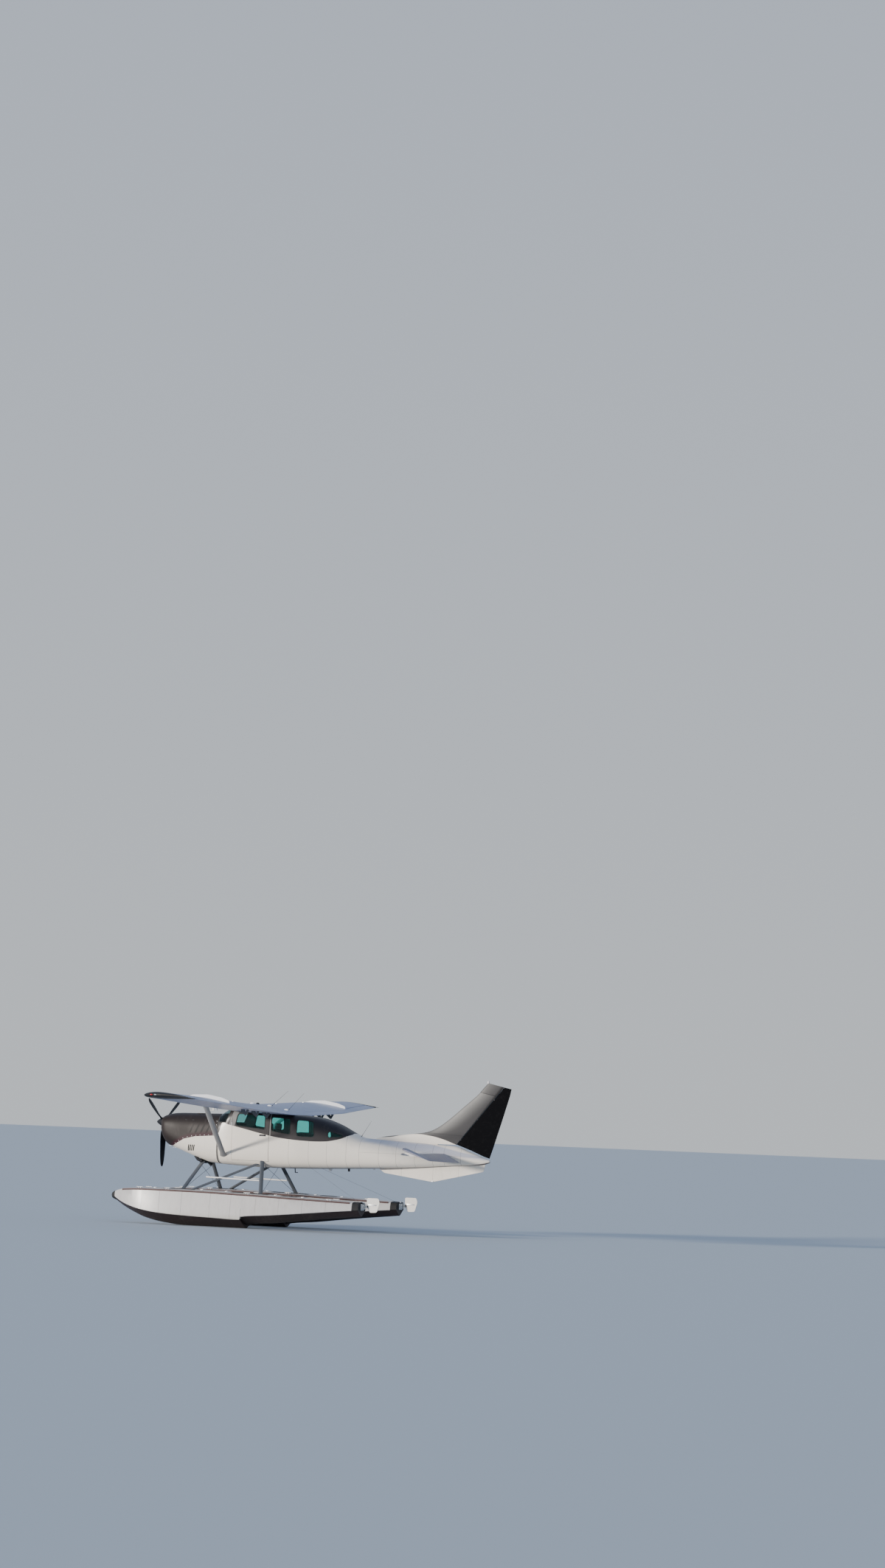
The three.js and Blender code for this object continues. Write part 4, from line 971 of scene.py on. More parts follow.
# A prism behind a hinge line, with a blunt V nose; a negative front is the cut ahead of it
def behindHinge(start, end, upward, halfDepth, front=0.0):
    along = (end - start).normalized()
    aft = along.cross(upward).normalized()
    if aft.x > 0:
        aft.negate()
    rise = aft.cross(along).normalized()
    shoulder = front if front < 0 else halfDepth * math.tan(math.radians(27))
    outline = [(front, 0), (shoulder, 1), (1.6, 1), (1.6, -1), (shoulder, -1)]
    return pieceFrom("hingePrism", loft([
        [point + aft * back + rise * side * halfDepth for back, side in outline] for point in (start, end)]))


def raisedPrism(outline, yLow, yHigh):
    rise = math.tan(wing["dihedral"])
    sections = [[at(s, y, h + (y - wing["root"]) * rise) for s, h in outline] for y in (yLow, yHigh)]
    return pieceFrom("raised", loft(sections))


def lugPoints(line):
    along = (line["end"] - line["start"]).normalized()
    return [(line["start"].lerp(line["end"], share), along) for share in line["lugs"]]


def lugSlots(line):
    reach = lug["half"] + lug["clear"]
    return [filled([(rod, point - along * reach, point + along * reach, lug["slot"], 16)])
            for point, along in lugPoints(line)]


def lugDiscs(bm, line, ahead):
    for point, along in lugPoints(line):
        for shift, radius in ((0.0, lug["radius"]), (0.015, lug["radius"] * 0.9)):
            middle = point + ahead * shift
            rod(bm, middle - along * lug["half"], middle + along * lug["half"], radius, 16)


def flapArm(bm, y, outline, low, high):
    c, s = math.cos(wing["dihedral"]), math.sin(wing["dihedral"])
    lift = (y - wing["root"]) * math.tan(wing["dihedral"])
    station, height = flap["hinge"]
    joined(bm, loft([[at(station + aft, y + side * c - rise * s, height + lift + side * s + rise * c)
                      for aft, rise in outline] for side in (low, high)]))


def buildWings():
    full = spanPiece(wingRows.between(wing["root"], wing["tip"], wing["step"]))
    start, end, span = aileron["start"], aileron["end"], aileron["span"]
    reach = (end - start).normalized() * 0.002
    space = behindHinge(start - reach, end + reach, up, 0.16, -wing["gap"])
    keepInside(space, box((2.9, 3.8), (span[0] - 0.006, span[1] + 0.006), (2.3, 3.2)))
    flapSpace = raisedPrism(flap["face"] + flap["rear"], flap["span"][0] - 0.008, flap["span"][1] + 0.008)
    fixed = carve(twin(full), [space, flapSpace], sharp=40)
    bothSides(fixed, "wing", wingPaint, "wing_{}")

    nose = keepInside(behindHinge(start, end, up, 0.16), box((2.9, 3.8), span, (2.3, 3.2)))
    surface = carve(keepInside(twin(full), nose, 40), lugSlots(aileron), sharp=40)
    bothSides(surface, "aileron", controlPaint, "aileron_{}", "aileron_{}")

    face = [(s + flap["gap"], h) for s, h in flap["face"]]
    surface = keepInside(full, raisedPrism(face + flap["rear"], *flap["span"]), 40)
    bothSides(surface, "flap", controlPaint, "flap_{}", "flap_{}")

    # The flap arms and brackets take the dark gear grey so that they read as shade against the window band:
    # painted shade
    arms = [(flapArm, y, flap["fixedArm"], -flap["half"], -lug["clear"]) for y in flap["arms"]]
    addPair("wingBrackets", gearGrey, [(lugDiscs, aileron, forward), *arms])
    arms = [(flapArm, y, flap["movingArm"], 0, flap["half"]) for y in flap["arms"]]
    addPair("flapArms", gearGrey, arms, "flap_{}")

    root = [wingRow(0.5751, y) for y in (-0.5747, -0.3, 0, 0.3, 0.5747)]
    dress(spanPiece(root, "wingMiddle"), wingPaint, ["wing_middle"])
    plate = sidePrism(fence["outline"], fence["y"] - fence["half"], fence["y"] + fence["half"], 0.03, 4)
    bothSides(plate, "stallFence", fencePaint)


# Struts; each has a cuff at both ends, and grow is a list of (share of the length, size)
cuffed = ((0, 1.18), (0.05, 1.16), (0.06, 1), (0.3, 1), (0.6, 1), (0.945, 1), (0.955, 1.14), (1, 1.18))
struts = {
    "wingStrut": {"start": at(1.93, 0.512, 1.585), "end": at(2.318, 2.56, 2.735), "chord": 0.132,
                  "thickness": 0.046, "node": "wing_strut_{}", "finish": greyPaint},
    "frontStrut": {"start": at(1.19, 1.125, 0.74), "end": at(1.32, 0.262, 1.432), "chord": 0.096,
                   "thickness": 0.046, "node": "float_front_strut_{}", "finish": gearGrey},
    "rearStrut": {"start": at(3.12, 1.08, 0.71), "end": at(2.88, 0.5, 1.5), "chord": 0.096,
                  "thickness": 0.046, "node": "float_rear_strut_{}", "finish": gearGrey},
    "diagonal": {"start": at(1.33, 1.08, 0.745), "end": at(2.77, 0.44, 1.44), "chord": 0.07,
                 "thickness": 0.036, "node": "float_diagonal_{}", "finish": gearGrey},
}
spreaders = {"spreaderFront": (1.26, "spreader_front"), "spreaderRear": (3.06, "spreader_rear")}
# Each spreader is a tube with a collar near both ends, as (y, y, radius)
spreader = {"height": 0.69, "tubes": ((-0.99, 0.99, 0.03), (-0.76, -0.85, 0.036), (0.76, 0.85, 0.036))}


def strutMesh(bm, row, start, end, grow):
    along = (end - start).normalized()
    ahead = (forward - along * along.x).normalized()
    across = along.cross(ahead)
    rings = []
    for share, size in grow:
        ring = []
        for i in range(32):
            angle = i / 32 * 2 * math.pi
            swell = 1 + 0.25 * math.cos(angle)
            ring.append(start.lerp(end, share) + ahead * (row["chord"] * size) / 2 * math.cos(angle)
                        + across * (row["thickness"] * size) / 2 * math.sin(angle) * swell)
        rings.append(ring)
    joined(bm, loft(rings))


def buildStruts():
    for label, row in struts.items():
        parts = [(strutMesh, row, row["start"], row["end"], cuffed)]
        addPair(label, row["finish"], parts, node=row["node"], sharp=40)
    addPair("stepBar", paleBar, [(rod, at(1.64, 0.775, 1.092), at(2.955, 0.8, 1.063), 0.017)])
    height = spreader["height"]
    for label, (station, node) in spreaders.items():
        addPiece(label, gearGrey, nodes=[node], parts=[
            (rod, at(station, low, height), at(station, high, height), radius, 28)
            for low, high, radius in spreader["tubes"]])


# Tail
tailHeight = 1.8
elevator = {"start": at(7.12, 0.06, tailHeight), "end": at(7.12, 2.1, tailHeight), "lugs": (0.16, 0.5, 0.78),
            "station": 7.12, "droop": math.radians(20), "root": 0.222, "hornRoot": 1.79, "hornFront": 6.79}
rudder = {"start": at(7.352, 0, 2.052), "end": at(8.412, 0, 3.346), "lugs": (0.08, 0.44, 0.79),
          "foot": [(7, 2.058), (7.33, 2.058), (7.7, 1.93), (8, 1.808), (8.2, 1.748), (8.7, 1.748), (8.7, 3.6),
                   (7, 3.6)]}
ventral = [(5.52, 1.5), (5.52, 1.445), (5.65, 1.355), (6.81, 1.2), (8.005, 1.474), (8.035, 1.6), (8.035, 1.69)]
tailRows = Table("y leading height chord incidence thickness camber", [
    (0.06, 6.33, tailHeight, 1.225, 0, 0.088, 0), (1.83, 6.715, tailHeight, 0.772, 0, 0.088, 0),
    (1.93, 6.745, tailHeight, 0.732, 0, 0.075, 0), (1.98, 6.8, tailHeight, 0.64, 0, 0.045, 0)], smooth=False)
finRows = Table("height leading trailing halfThickness", [
    (1.74, 5.3, 8.122, 0.04), (1.9, 5.3, 8.176, 0.046), (2.11, 5.42, 8.243, 0.046), (2.17, 5.65, 8.261, 0.046),
    (2.23, 6.15, 8.279, 0.046), (2.3, 6.62, 8.3, 0.046), (2.4, 6.86, 8.33, 0.045), (2.57, 7.105, 8.382, 0.043),
    (2.92, 7.515, 8.485, 0.038), (3.19, 7.82, 8.562, 0.033), (3.32, 7.93, 8.59, 0.028),
    (3.44, 8.04, 8.625, 0.016)])


def finRing(row):
    shares = [0, 0.003, 0.012, 0.028, 0.05, 0.09, 0.15, 0.24, 0.35, 0.47, 0.6, 0.73, 0.85, 0.93, 1]

    def width(share):
        shape = 2.2 * (0.2969 * math.sqrt(share) * 1.6 - 0.126 * share - 0.3516 * share**2 * 0.95)
        return max(0.05, min(1, shape * 1.75)) * row.halfThickness

    chord = row.trailing - row.leading
    port = [at(row.leading + chord * s, 0 if s == 0 else width(s), row.height) for s in shares]
    starboard = [at(row.leading + chord * s, -width(s), row.height) for s in reversed(shares[1:])]
    return port + starboard


# The elevator rests on its down stop
def hang(bm):
    turn = Matrix.Rotation(-elevator["droop"], 3, "Y")
    bmesh.ops.rotate(bm, verts=bm.verts, cent=at(elevator["station"], 0, tailHeight), matrix=turn)


def buildFin():
    whole = pieceFrom("fin", loft([finRing(row) for row in finRows.between(1.74, 3.44, 0.03)]), 40)
    carve(whole, [sidePrism([(7.9, 3.443), (8.03, 3.44), (8.7, 3.297), (8.7, 3.6), (7.9, 3.6)], -0.1, 0.1)])
    along = (rudder["end"] - rudder["start"]).normalized()
    low, high = rudder["start"] - along * 0.4, rudder["end"] + along * 0.3
    blade = keepInside(twin(whole, "rudderBlade"), behindHinge(low, high, sideways, 0.08))
    keepInside(blade, sidePrism(rudder["foot"], -0.1, 0.1))
    dress(carve(blade, lugSlots(rudder)), rudderPaint, ["rudder"], "rudder")
    cuts = [behindHinge(low, high, sideways, 0.08, -wing["gap"]), box((6.9, 9), (-0.2, 0.2), (1.2, 2.046))]
    dress(carve(whole, cuts), darkFin, ["fin"])
    ahead = sideways.cross(along).normalized()
    addPiece("finLugs", greyPaint, [(lugDiscs, rudder, ahead if ahead.x > 0 else -ahead)])
    plate = sidePrism(ventral, -0.013, 0.013, 0.02, 3)
    plate.name = "ventralFin"
    dress(plate, ventralPaint, ["ventral_fin"])


def buildTailplane():
    full = spanPiece(tailRows.between(0.06, 1.98, 0.12))
    start, end, station, heights = elevator["start"], elevator["end"], elevator["station"], (1.6, 2.0)
    hornBox = box((elevator["hornFront"] - 0.02, 7.4), (elevator["hornRoot"] - 0.008, 2.1), heights)
    fixed = carve(twin(full), [behindHinge(start, end, up, 0.1, -wing["gap"]), hornBox], sharp=40)
    bothSides(fixed, "stabilizer", tailPaint, "stabilizer_{}")
    nose = keepInside(behindHinge(start, end, up, 0.1), box((7.0, 7.7), (elevator["root"], 2.1), heights))
    horn = box((elevator["hornFront"], station + 0.06), (elevator["hornRoot"], 2.1), heights)
    half = keepInside(full, carve(nose, [horn], "UNION"), 40)
    carve(half, lugSlots(elevator), sharp=40)
    tube = (rod, at(station, -0.26, tailHeight), at(station, 0.26, tailHeight), 0.02)
    parts = [(taken, half), (taken, mirrored(half, "elevatorOther")), tube, (hang,)]
    addPiece("elevatorSurface", elevatorPaint, parts, "elevator", ["elevator"], 40)
    addPair("tailLugs", greyPaint, [(lugDiscs, elevator, forward)])


# Floats
floatColumns = "station deckHalf chineHalf deck chine keel"
floatRows = Table(floatColumns, [
    (-0.38, 0.1, 0.108, 0.69, 0.575, 0.5), (-0.18, 0.19, 0.205, 0.745, 0.48, 0.372),
    (0.06, 0.262, 0.29, 0.765, 0.398, 0.252), (0.4, 0.318, 0.358, 0.775, 0.32, 0.125),
    (0.85, 0.345, 0.398, 0.778, 0.264, 0.04), (1.4, 0.352, 0.41, 0.776, 0.234, 0),
    (2.1, 0.352, 0.412, 0.77, 0.214, 0), (2.85, 0.35, 0.408, 0.752, 0.2, 0),
    (2.852, 0.35, 0.4, 0.752, 0.262, 0.068), (3.6, 0.328, 0.376, 0.732, 0.33, 0.15),
    (4.5, 0.286, 0.326, 0.708, 0.42, 0.262), (5.3, 0.236, 0.262, 0.688, 0.5, 0.352),
    (5.6, 0.214, 0.236, 0.68, 0.524, 0.384)])
bumperRows = Table(floatColumns, [
    (-0.49, 0.026, 0.028, 0.622, 0.59, 0.56), (-0.455, 0.066, 0.072, 0.655, 0.575, 0.525),
    (-0.3803, 0.106, 0.114, 0.696, 0.57, 0.495)])
floats = {"keelHalf": 0.014, "bow": -0.38, "stern": 5.6, "stepFront": 2.85, "stepRear": 2.852}
waterRudder = [(5.722, 0.8), (5.99, 0.8), (6.02, 0.7), (5.96, 0.49), (5.8, 0.48), (5.722, 0.62)]


# A point beside the port float's middle line
def onFloat(station, y, height):
    return at(station, floatY + y, height)


def floatRing(row):
    deckHalf, chineHalf, deck, chine, keel = row.deckHalf, row.chineHalf, row.deck, row.chine, row.keel
    crown = deckHalf * 0.1
    half = [(0, deck + crown), (deckHalf * 0.3, deck + crown * 0.93), (deckHalf * 0.55, deck + crown * 0.72),
            (deckHalf * 0.75, deck + crown * 0.4), (deckHalf * 0.88, deck), (deckHalf * 0.95, deck - 0.01),
            (deckHalf * 0.99, deck - 0.026),
            (deckHalf + (chineHalf - deckHalf) * 0.75, deck + (chine - deck) * 0.6),
            (chineHalf, chine), (chineHalf * 0.52, keel + (chine - keel) * 0.44),
            (chineHalf * 0.2, keel + (chine - keel) * 0.13), (floats["keelHalf"], keel)]
    return [onFloat(row.station, y, h) for y, h in half + [(-y, h) for y, h in reversed(half[1:])]]


def buildFloats():
    rows = floatRows.between(floats["bow"], floats["stepFront"], 0.09)
    rows += floatRows.between(floats["stepRear"], floats["stern"], 0.12)
    shell = pieceFrom("float", loft([floatRing(row) for row in rows]), 26)
    bothSides(shell, "float", floatPaint, "float_{}")
    rows = bumperRows.between(-0.49, -0.3803, 0.012)
    nose = pieceFrom("bowBumper", loft([floatRing(row) for row in rows]), 40)
    bothSides(nose, "bowBumper", rubber, "bow_bumper_{}")
    addPair("rudderBrackets", alloy, [
        (block, onFloat(5.7, -0.03, h), onFloat(5.56, 0.03, h + 0.01), 0.002) for h in (0.5497, 0.6503)])
    addPair("waterRudder", paleAlloy, [
        (taken, sidePrism(waterRudder, floatY - 0.005, floatY + 0.005, 0.03, 6)),
        (rod, onFloat(5.68, 0, 0.56), onFloat(5.68, 0, 0.65), 0.013),
        (block, onFloat(5.76, -0.005, 0.578), onFloat(5.68, 0.005, 0.632), 0.002)],
            "water_rudder_{}", "water_rudder_{}")


# Handles sit in shallow cups; a hinge has two sets of barrels
def hingeBarrels(bm, station, side):
    for height in (1.66, 2.3):
        skin = side * (sideOf(hullRows, station, height) + 0.002)
        for low in (-0.045, -0.014, 0.017):
            rod(bm, at(station, skin, height + low), at(station, skin, height + low + 0.028), 0.007)


def buildDoorTrim():
    for name, door in doors.items():
        side, body = door["side"], door["body"]
        station, height = door["handle"]
        skin = side * sideOf(hullRows, station, height)
        addPiece(name + "HandleCup", propBlack, [
            (block, at(station + 0.08, skin - side * 0.006, height - 0.02),
             at(station - 0.08, skin + side * 0.0012, height + 0.02), 0.001)], body)
        addPiece(name + "Handle", castings, [
            (block, at(station + 0.055, skin, height - 0.016),
             at(station - 0.045, skin + side * 0.008, height - 0.004), 0.002, 3)], body)
        addPiece(name + "Hinges", alloy, [(hingeBarrels, door["hinge"], side)])


# Seats and benches
seatRows = {
    "pilotSeat": {"node": "seat_pilot", "front": 2.33, "y": 0.255, "half": 0.215, "top": 2.23, "seats": 1},
    "copilotSeat": {"node": "seat_copilot", "front": 2.33, "y": -0.255, "half": 0.215, "top": 2.23, "seats": 1},
    "middleBench": {"node": "bench_middle", "front": 3.13, "y": 0, "half": 0.45, "top": 2.18, "seats": 2},
    "rearBench": {"node": "bench_rear", "front": 3.88, "y": 0, "half": 0.4, "top": 2.08, "seats": 2},
}
cushion = {"depth": 0.47, "channels": 4, "steps": 12, "corner": 0.045, "cornerSteps": 5}
cabinFloor = 1.518


# A sewn cushion: its section sinks at every seam and closes at both ends
def cushionMesh(section, low, high, channels):
    count = channels * cushion["steps"]
    middle = [sum(point[i] for point in section) / len(section) for i in range(2)]
    rings = []
    for i in range(count + 1):
        share = i / count
        puff = abs(math.sin(math.pi * share * channels)) ** 0.35
        size = max(0.3, (1 - abs(2 * share - 1) ** 9) ** (1 / 9) * (0.9 + 0.1 * puff))
        rings.append([at(middle[0] + (s - middle[0]) * size, low + (high - low) * share,
                         middle[1] + (h - middle[1]) * size) for s, h in section])
    return loft(rings)


def roundedSection(corners):
    points = []
    for i, spot in enumerate(corners):
        spot = Vector(spot)
        before = (Vector(corners[i - 1]) - spot).normalized() * cushion["corner"]
        after = (Vector(corners[(i + 1) % len(corners)]) - spot).normalized() * cushion["corner"]
        for step in range(cushion["cornerSteps"] + 1):
            t = step / cushion["cornerSteps"]
            points.append(tuple(spot + before * (1 - t) ** 2 + after * t**2))
    return points


def seatFrame(bm, low, high, front, rear, top):
    for y in (low + 0.05, high - 0.05):
        for station in (front + 0.06, rear - 0.06):
            rod(bm, at(station, y, cabinFloor), at(station, y, 1.79), 0.012, 12)
        block(bm, at(rear, y - 0.015, cabinFloor), at(front, y + 0.015, cabinFloor + 0.017), 0.003)
        rod(bm, at(rear, y, 1.78), at(front + 0.54, y, top - 0.1), 0.011, 12)


def buildSeats():
    for name, row in seatRows.items():
        y, front, top = row["y"], row["front"], row["top"]
        low, high, rear = y - row["half"], y + row["half"], front + cushion["depth"]
        pan = [(front, 1.77), (rear, 1.76), (rear, 1.87), (front, 1.885)]
        back = [(rear - 0.04, 1.85), (rear + 0.075, 1.85), (front + 0.61, top), (front + 0.5, top)]
        for label, corners in (("Pan", pan), ("Back", back)):
            mesh = cushionMesh(roundedSection(corners), low, high, cushion["channels"] * row["seats"])
            piece = dress(pieceFrom(name + label, mesh, 60), leather, [row["node"]])
        addPiece(name + "Frame", alloy, [(seatFrame, low, high, front, rear, top)])
        if row["seats"] == 1:
            foot = at(front + 0.64, y - 0.11, top - 0.01)
            rest = (block, foot, at(front + 0.54, y + 0.11, top + 0.13), 0.035, 4)
            addPiece(name + "Headrest", leather, [rest], sharp=60)


# Instrument panel
panel = {"face": 1.93, "dial": 0.038, "pitch": 0.095, "rows": (2.235, 2.14),
         "columns": (0.19, 0.285, 0.38, -0.285, -0.38), "yokeHeight": 2.06, "yokeReach": 0.2,
         "yokes": {"pilot": 0.255, "copilot": -0.255}}


def dialFace():
    paint = Finish("dialFace", roughness=0.4, coat=0.6, coatRoughness=0.05)
    x, y, z = paint.axes()
    across = y.every(panel["pitch"])
    down = (z - panel["rows"][1]).every(panel["pitch"])
    radius = (across * across + down * down).op("SQRT")
    angle = down.op("ARCTAN2", across) * (12 / math.pi)
    ticks = radius.near(0.029, 0.0035) * angle.op("SINE").step(0.5, 0.8)
    needle = (across - down * 0.7).near(0.001, 0.0016) * radius.step(0.026, 0.024)
    paint.set(colour=paint.mix(ticks | needle, (0.012, 0.012, 0.014), (0.8, 0.8, 0.78)))
    return paint.material


def yoke(bm, y):
    face, height = panel["face"], panel["yokeHeight"]
    grip = face + panel["yokeReach"]
    rod(bm, at(face - 0.01, y, height), at(grip, y, height), 0.014)
    arc = [at(grip, y + 0.15 * math.cos(a), height - 0.02 + 0.11 * math.sin(a))
           for a in [math.radians(150 + 20 * i) for i in range(13)]]
    bent(bm, arc, 0.013, 14)
    for spot in arc[1:]:
        ball(bm, spot, (0.013, 0.013, 0.013), 12)
    for hand in (arc[0], arc[-1]):
        rod(bm, hand, hand + up * 0.05, 0.016, 14)
    rod(bm, at(grip, y, height - 0.12), at(grip, y, height + 0.02), 0.02)


def radio(bm, low):
    face = panel["face"]
    block(bm, at(face + 0.006, -0.16, low), at(face - 0.01, 0.055, low + 0.048), 0.003)
    for y in (-0.14, 0.035):
        rod(bm, at(face, y, low + 0.024), at(face + 0.018, y, low + 0.024), 0.008, 14)


def knob(bm, y, reach):
    end = panel["face"] + reach
    rod(bm, at(panel["face"] - 0.01, y, 1.985), at(end, y, 1.985), 0.005, 12)
    rod(bm, at(end, y, 1.985), at(end + 0.02, y, 1.985), 0.013, 16)


def buildPanel():
    face, dial = panel["face"], panel["dial"]
    spots = [(y, row) for y in panel["columns"] for row in panel["rows"]]
    bezels = [(rod, at(face - 0.012, y, h), at(face + 0.005, y, h), dial) for y, h in spots]
    faces = [(rod, at(face - 0.008, y, h), at(face + 0.0062, y, h), dial * 0.84) for y, h in spots]
    addPiece("dialBezels", innerTrim, bezels)
    addPiece("dialFaces", dialFace(), faces)
    addPiece("radioStack", panelBlack, [(radio, 2.02 + i * 0.055) for i in range(5)])
    shelf = box((1.79, 2.0), (-0.55, 0.55), (2.296, 2.322))
    shelf.name = "glareshield"
    keepInside(shelf, sectionPiece(hullRows, 1.7, 2.1, -0.036))
    dress(shelf, panelBlack)
    addPiece("engineKnobs", alloy,
             [(knob, -0.07, 0.05), (knob, -0.02, 0.07), (knob, 0.03, 0.045)])
    for name, y in panel["yokes"].items():
        addPiece(name + "Yoke", panelBlack, [(yoke, y)])


# Aerials, lamps and small fittings
def whip(bm, foot, tip):
    along = (tip - foot).normalized()
    rod(bm, foot, tip, 0.004, 12, 0.0018)
    rod(bm, foot - along * 0.004, foot + along * 0.045, 0.009, 16, 0.006)


def buildAntennas():
    domes = [(ball, onWing(station, 0), (0.06, 0.035, 0.028), 24) for station in (2.35, 2.78, 3.2)]
    domes.append((ball, at(4.343, 0, 1.386), (0.045, 0.045, 0.055), 24))
    addPiece("antennaDomes", fencePaint, domes)
    addPiece("antennaMasts", propBlack, [
        (ball, onWing(2.48, 0), (0.045, 0.025, 0.035), 24),
        (rod, at(3.476, 0, 1.37), at(3.486, 0, 1.268), 0.011, 16),
        (rod, at(3.475, 0, 1.272), at(3.55, 0, 1.268), 0.009, 16),
        (block, at(4.815, -0.006, 1.345), at(4.765, 0.006, 1.41), 0.003),
        (whip, onWing(2.82, 0), at(3.23, 0, 3.1)),
        (whip, onWing(3.24, 0), at(3.62, 0, 3.06)),
        (whip, at(5.06, 0, 2.14), at(5.29, 0, 2.5))])


def fuelCap(bm, spot):
    rod(bm, spot - up * 0.01, spot + up * 0.004, 0.042, 32)
    block(bm, spot + Vector((-0.025, -0.004, 0.003)), spot + Vector((0.025, 0.004, 0.009)), 0.002)


def wick(bm, y):
    row = wingRows.at(y)
    spot = onWing(row.leading + row.chord * 0.98, y)
    rod(bm, spot, spot + Vector((-0.1, 0, -0.006)), 0.0025, 8, 0.001)


def buildWingTrim():
    addPair("fuelCaps", alloy, [(fuelCap, onWing(2.42, 1.25)), (fuelCap, onWing(2.4, 2.9))])
    lamp = (ball, at(2.37, 5.468, 2.873), (0.04, 0.02, 0.015), 24)
    port, starboard = addPair("tipLamp", redLens, [lamp])
    starboard.data.materials[0] = greenLens
    addPair("tipStrobe", clearLens, [(ball, at(2.46, 5.474, 2.874), (0.03, 0.014, 0.014))])
    foot = onWing(2.22, 1.84, -1)
    addPiece("pitotTube", paleAlloy, [
        (block, foot + Vector((-0.018, -0.004, -0.055)), foot + Vector((0.018, 0.004, 0.01)), 0.003),
        (rod, foot + Vector((-0.02, 0, -0.055)), foot + Vector((0.17, 0, -0.055)), 0.008, 16)])
    foot = onWing(2.5, 2.3, -1)
    plates = [onWing(2.75, y, -1) for y in (0.8, 1.6, 2.9, 3.9)]
    addPair("wingPlates", wingPaint, [
        (rod, foot + up * 0.01, foot + Vector((-0.03, 0, -0.05)), 0.006, 12),
        *[(rod, spot - up * 0.0008, spot + up * 0.006, 0.055, 32) for spot in plates]])
    addPair("staticWicks", propBlack, [(wick, y) for y in (5.24, 5.34, 5.41)])
    row = struts["wingStrut"]
    start, end = row["start"], row["end"]
    way = (end - start).normalized()
    addPair("strutFairings", greyPaint, [
        (strutMesh, row, start, start + way * 0.13, ((0, 1.4), (1, 1.12))),
        (strutMesh, row, end - way * 0.13, end + way * 0.02, ((0, 1.12), (1, 1.4)))])


def latch(bm, station):
    y = sideOf(cowlRows, station, 2.36)
    block(bm, at(station + 0.03, y - 0.012, 2.352), at(station - 0.03, y + 0.004, 2.372), 0.003)
    rod(bm, at(station, y - 0.01, 2.345), at(station, y + 0.007, 2.345), 0.011, 16)


# A slanted louvre that follows the cowl's side: a black rod sunk in the skin, its dark standing for the shade
# in the slit, painted shade
def louvre(bm, station):
    spots = []
    for height in (1.668, 1.701, 1.734, 1.767, 1.8):
        slanted = station + (height - 1.734) * 0.27
        spots.append(at(slanted, sideOf(cowlRows, slanted, height) - 0.001, height))
    bent(bm, spots, 0.0125, 12)


def cowlScrew(bm, station, height):
    y = sideOf(cowlRows, station, height)
    rod(bm, at(station, y - 0.006, height), at(station, y + 0.0015, height), 0.006, 12)


def exhaust(bm, side):
    spots = [at(1.13, side * 0.27, 1.55), at(1.2, side * 0.3, 1.478), at(1.32, side * 0.31, 1.432)]
    bent(bm, spots, 0.036, 24)
    ball(bm, spots[1], (0.036, 0.036, 0.036))


def buildCowlTrim():
    louvres = [(louvre, 1.03 + i * 0.046) for i in range(4)]
    addPair("cowlLatches", rubber, [(latch, 0.94), (latch, 1.12), *louvres])
    edge = Table("station height", cowlEdge)
    stations = [0.36 + i * 0.107 for i in range(13)]
    addPair("cowlScrews", alloy, [
        *[(cowlScrew, station, edge.at(station).height + 0.02) for station in stations],
        *[(cowlScrew, 1.715, 1.55 + i * 0.08) for i in range(11)]])
    top = max(point.z for point in sectionRing(cowlRows.at(1.2), 0, hull["sides"]))
    addPiece("oilDoor", darkCowl, [
        (block, at(1.29, 0.1, top - 0.012), at(1.12, 0.25, top + 0.0015), 0.001),
        (rod, at(1.29, 0.12, top), at(1.29, 0.23, top), 0.004, 10)])
    addPiece("exhaustPipes", propBlack, [(exhaust, -1), (exhaust, 1)])
    fins = [(side, 2.24 + i * 0.032) for side in (-1, 1) for i in range(4)]
    addPiece("inletFins", castings, [
        (rod, at(0.4, side * 0.14, height), at(0.4, side * 0.36, height), 0.005, 10) for side, height in fins])


# A strip lofted along the float from a section of (y, height) that depends on the row
def floatStrip(bm, low, high, step, section, *values):
    rows = floatRows.between(low, high, step)
    joined(bm, loft([[onFloat(row.station, y, h) for y, h in section(row, *values)] for row in rows]))


def railSection(row, side):
    y, height = side * row.deckHalf * 0.985, row.deck - 0.012
    turns = [math.pi * i / 5 for i in range(10)]
    return [(y + 0.011 * math.cos(a), height + 0.02 * math.sin(a)) for a in turns]


def keelSection(row):
    spots = ((-0.012, 0), (0.012, 0), (0.018, 0.02), (-0.018, 0.02))
    return [(y, row.keel + 0.0005 + rise) for y, rise in spots]


def walkSection(row):
    spots = ((-0.55, 0.72, 0.003), (-0.3, 0.93, 0.003), (0, 1, 0.0035), (0.3, 0.93, 0.003), (0.55, 0.72, 0.003),
             (0.5, 0.72, -0.004), (-0.5, 0.72, -0.004))
    return [(row.deckHalf * y, row.deck + row.deckHalf * 0.1 * lift + rise) for y, lift, rise in spots]


def hatch(bm, station):
    row = floatRows.at(station)
    crown = row.deck + row.deckHalf * 0.098
    rod(bm, onFloat(station, 0, crown - 0.02), onFloat(station, 0, crown + 0.005), 0.075, 36)
    rod(bm, onFloat(station, 0, crown), onFloat(station, 0, crown + 0.011), 0.02, 18)


def cleat(bm, station, side):
    row = floatRows.at(station)
    y, base = side * row.deckHalf * 0.8, row.deck + row.deckHalf * 0.03
    for shift in (-0.025, 0.025):
        rod(bm, onFloat(station + shift, y, base - 0.01), onFloat(station + shift, y, base + 0.03), 0.007, 12)
    rod(bm, onFloat(station - 0.07, y, base + 0.032), onFloat(station + 0.07, y, base + 0.032), 0.008, 14)
    for end in (-0.07, 0.07):
        ball(bm, onFloat(station + end, y, base + 0.032), (0.01, 0.009, 0.009), 12)


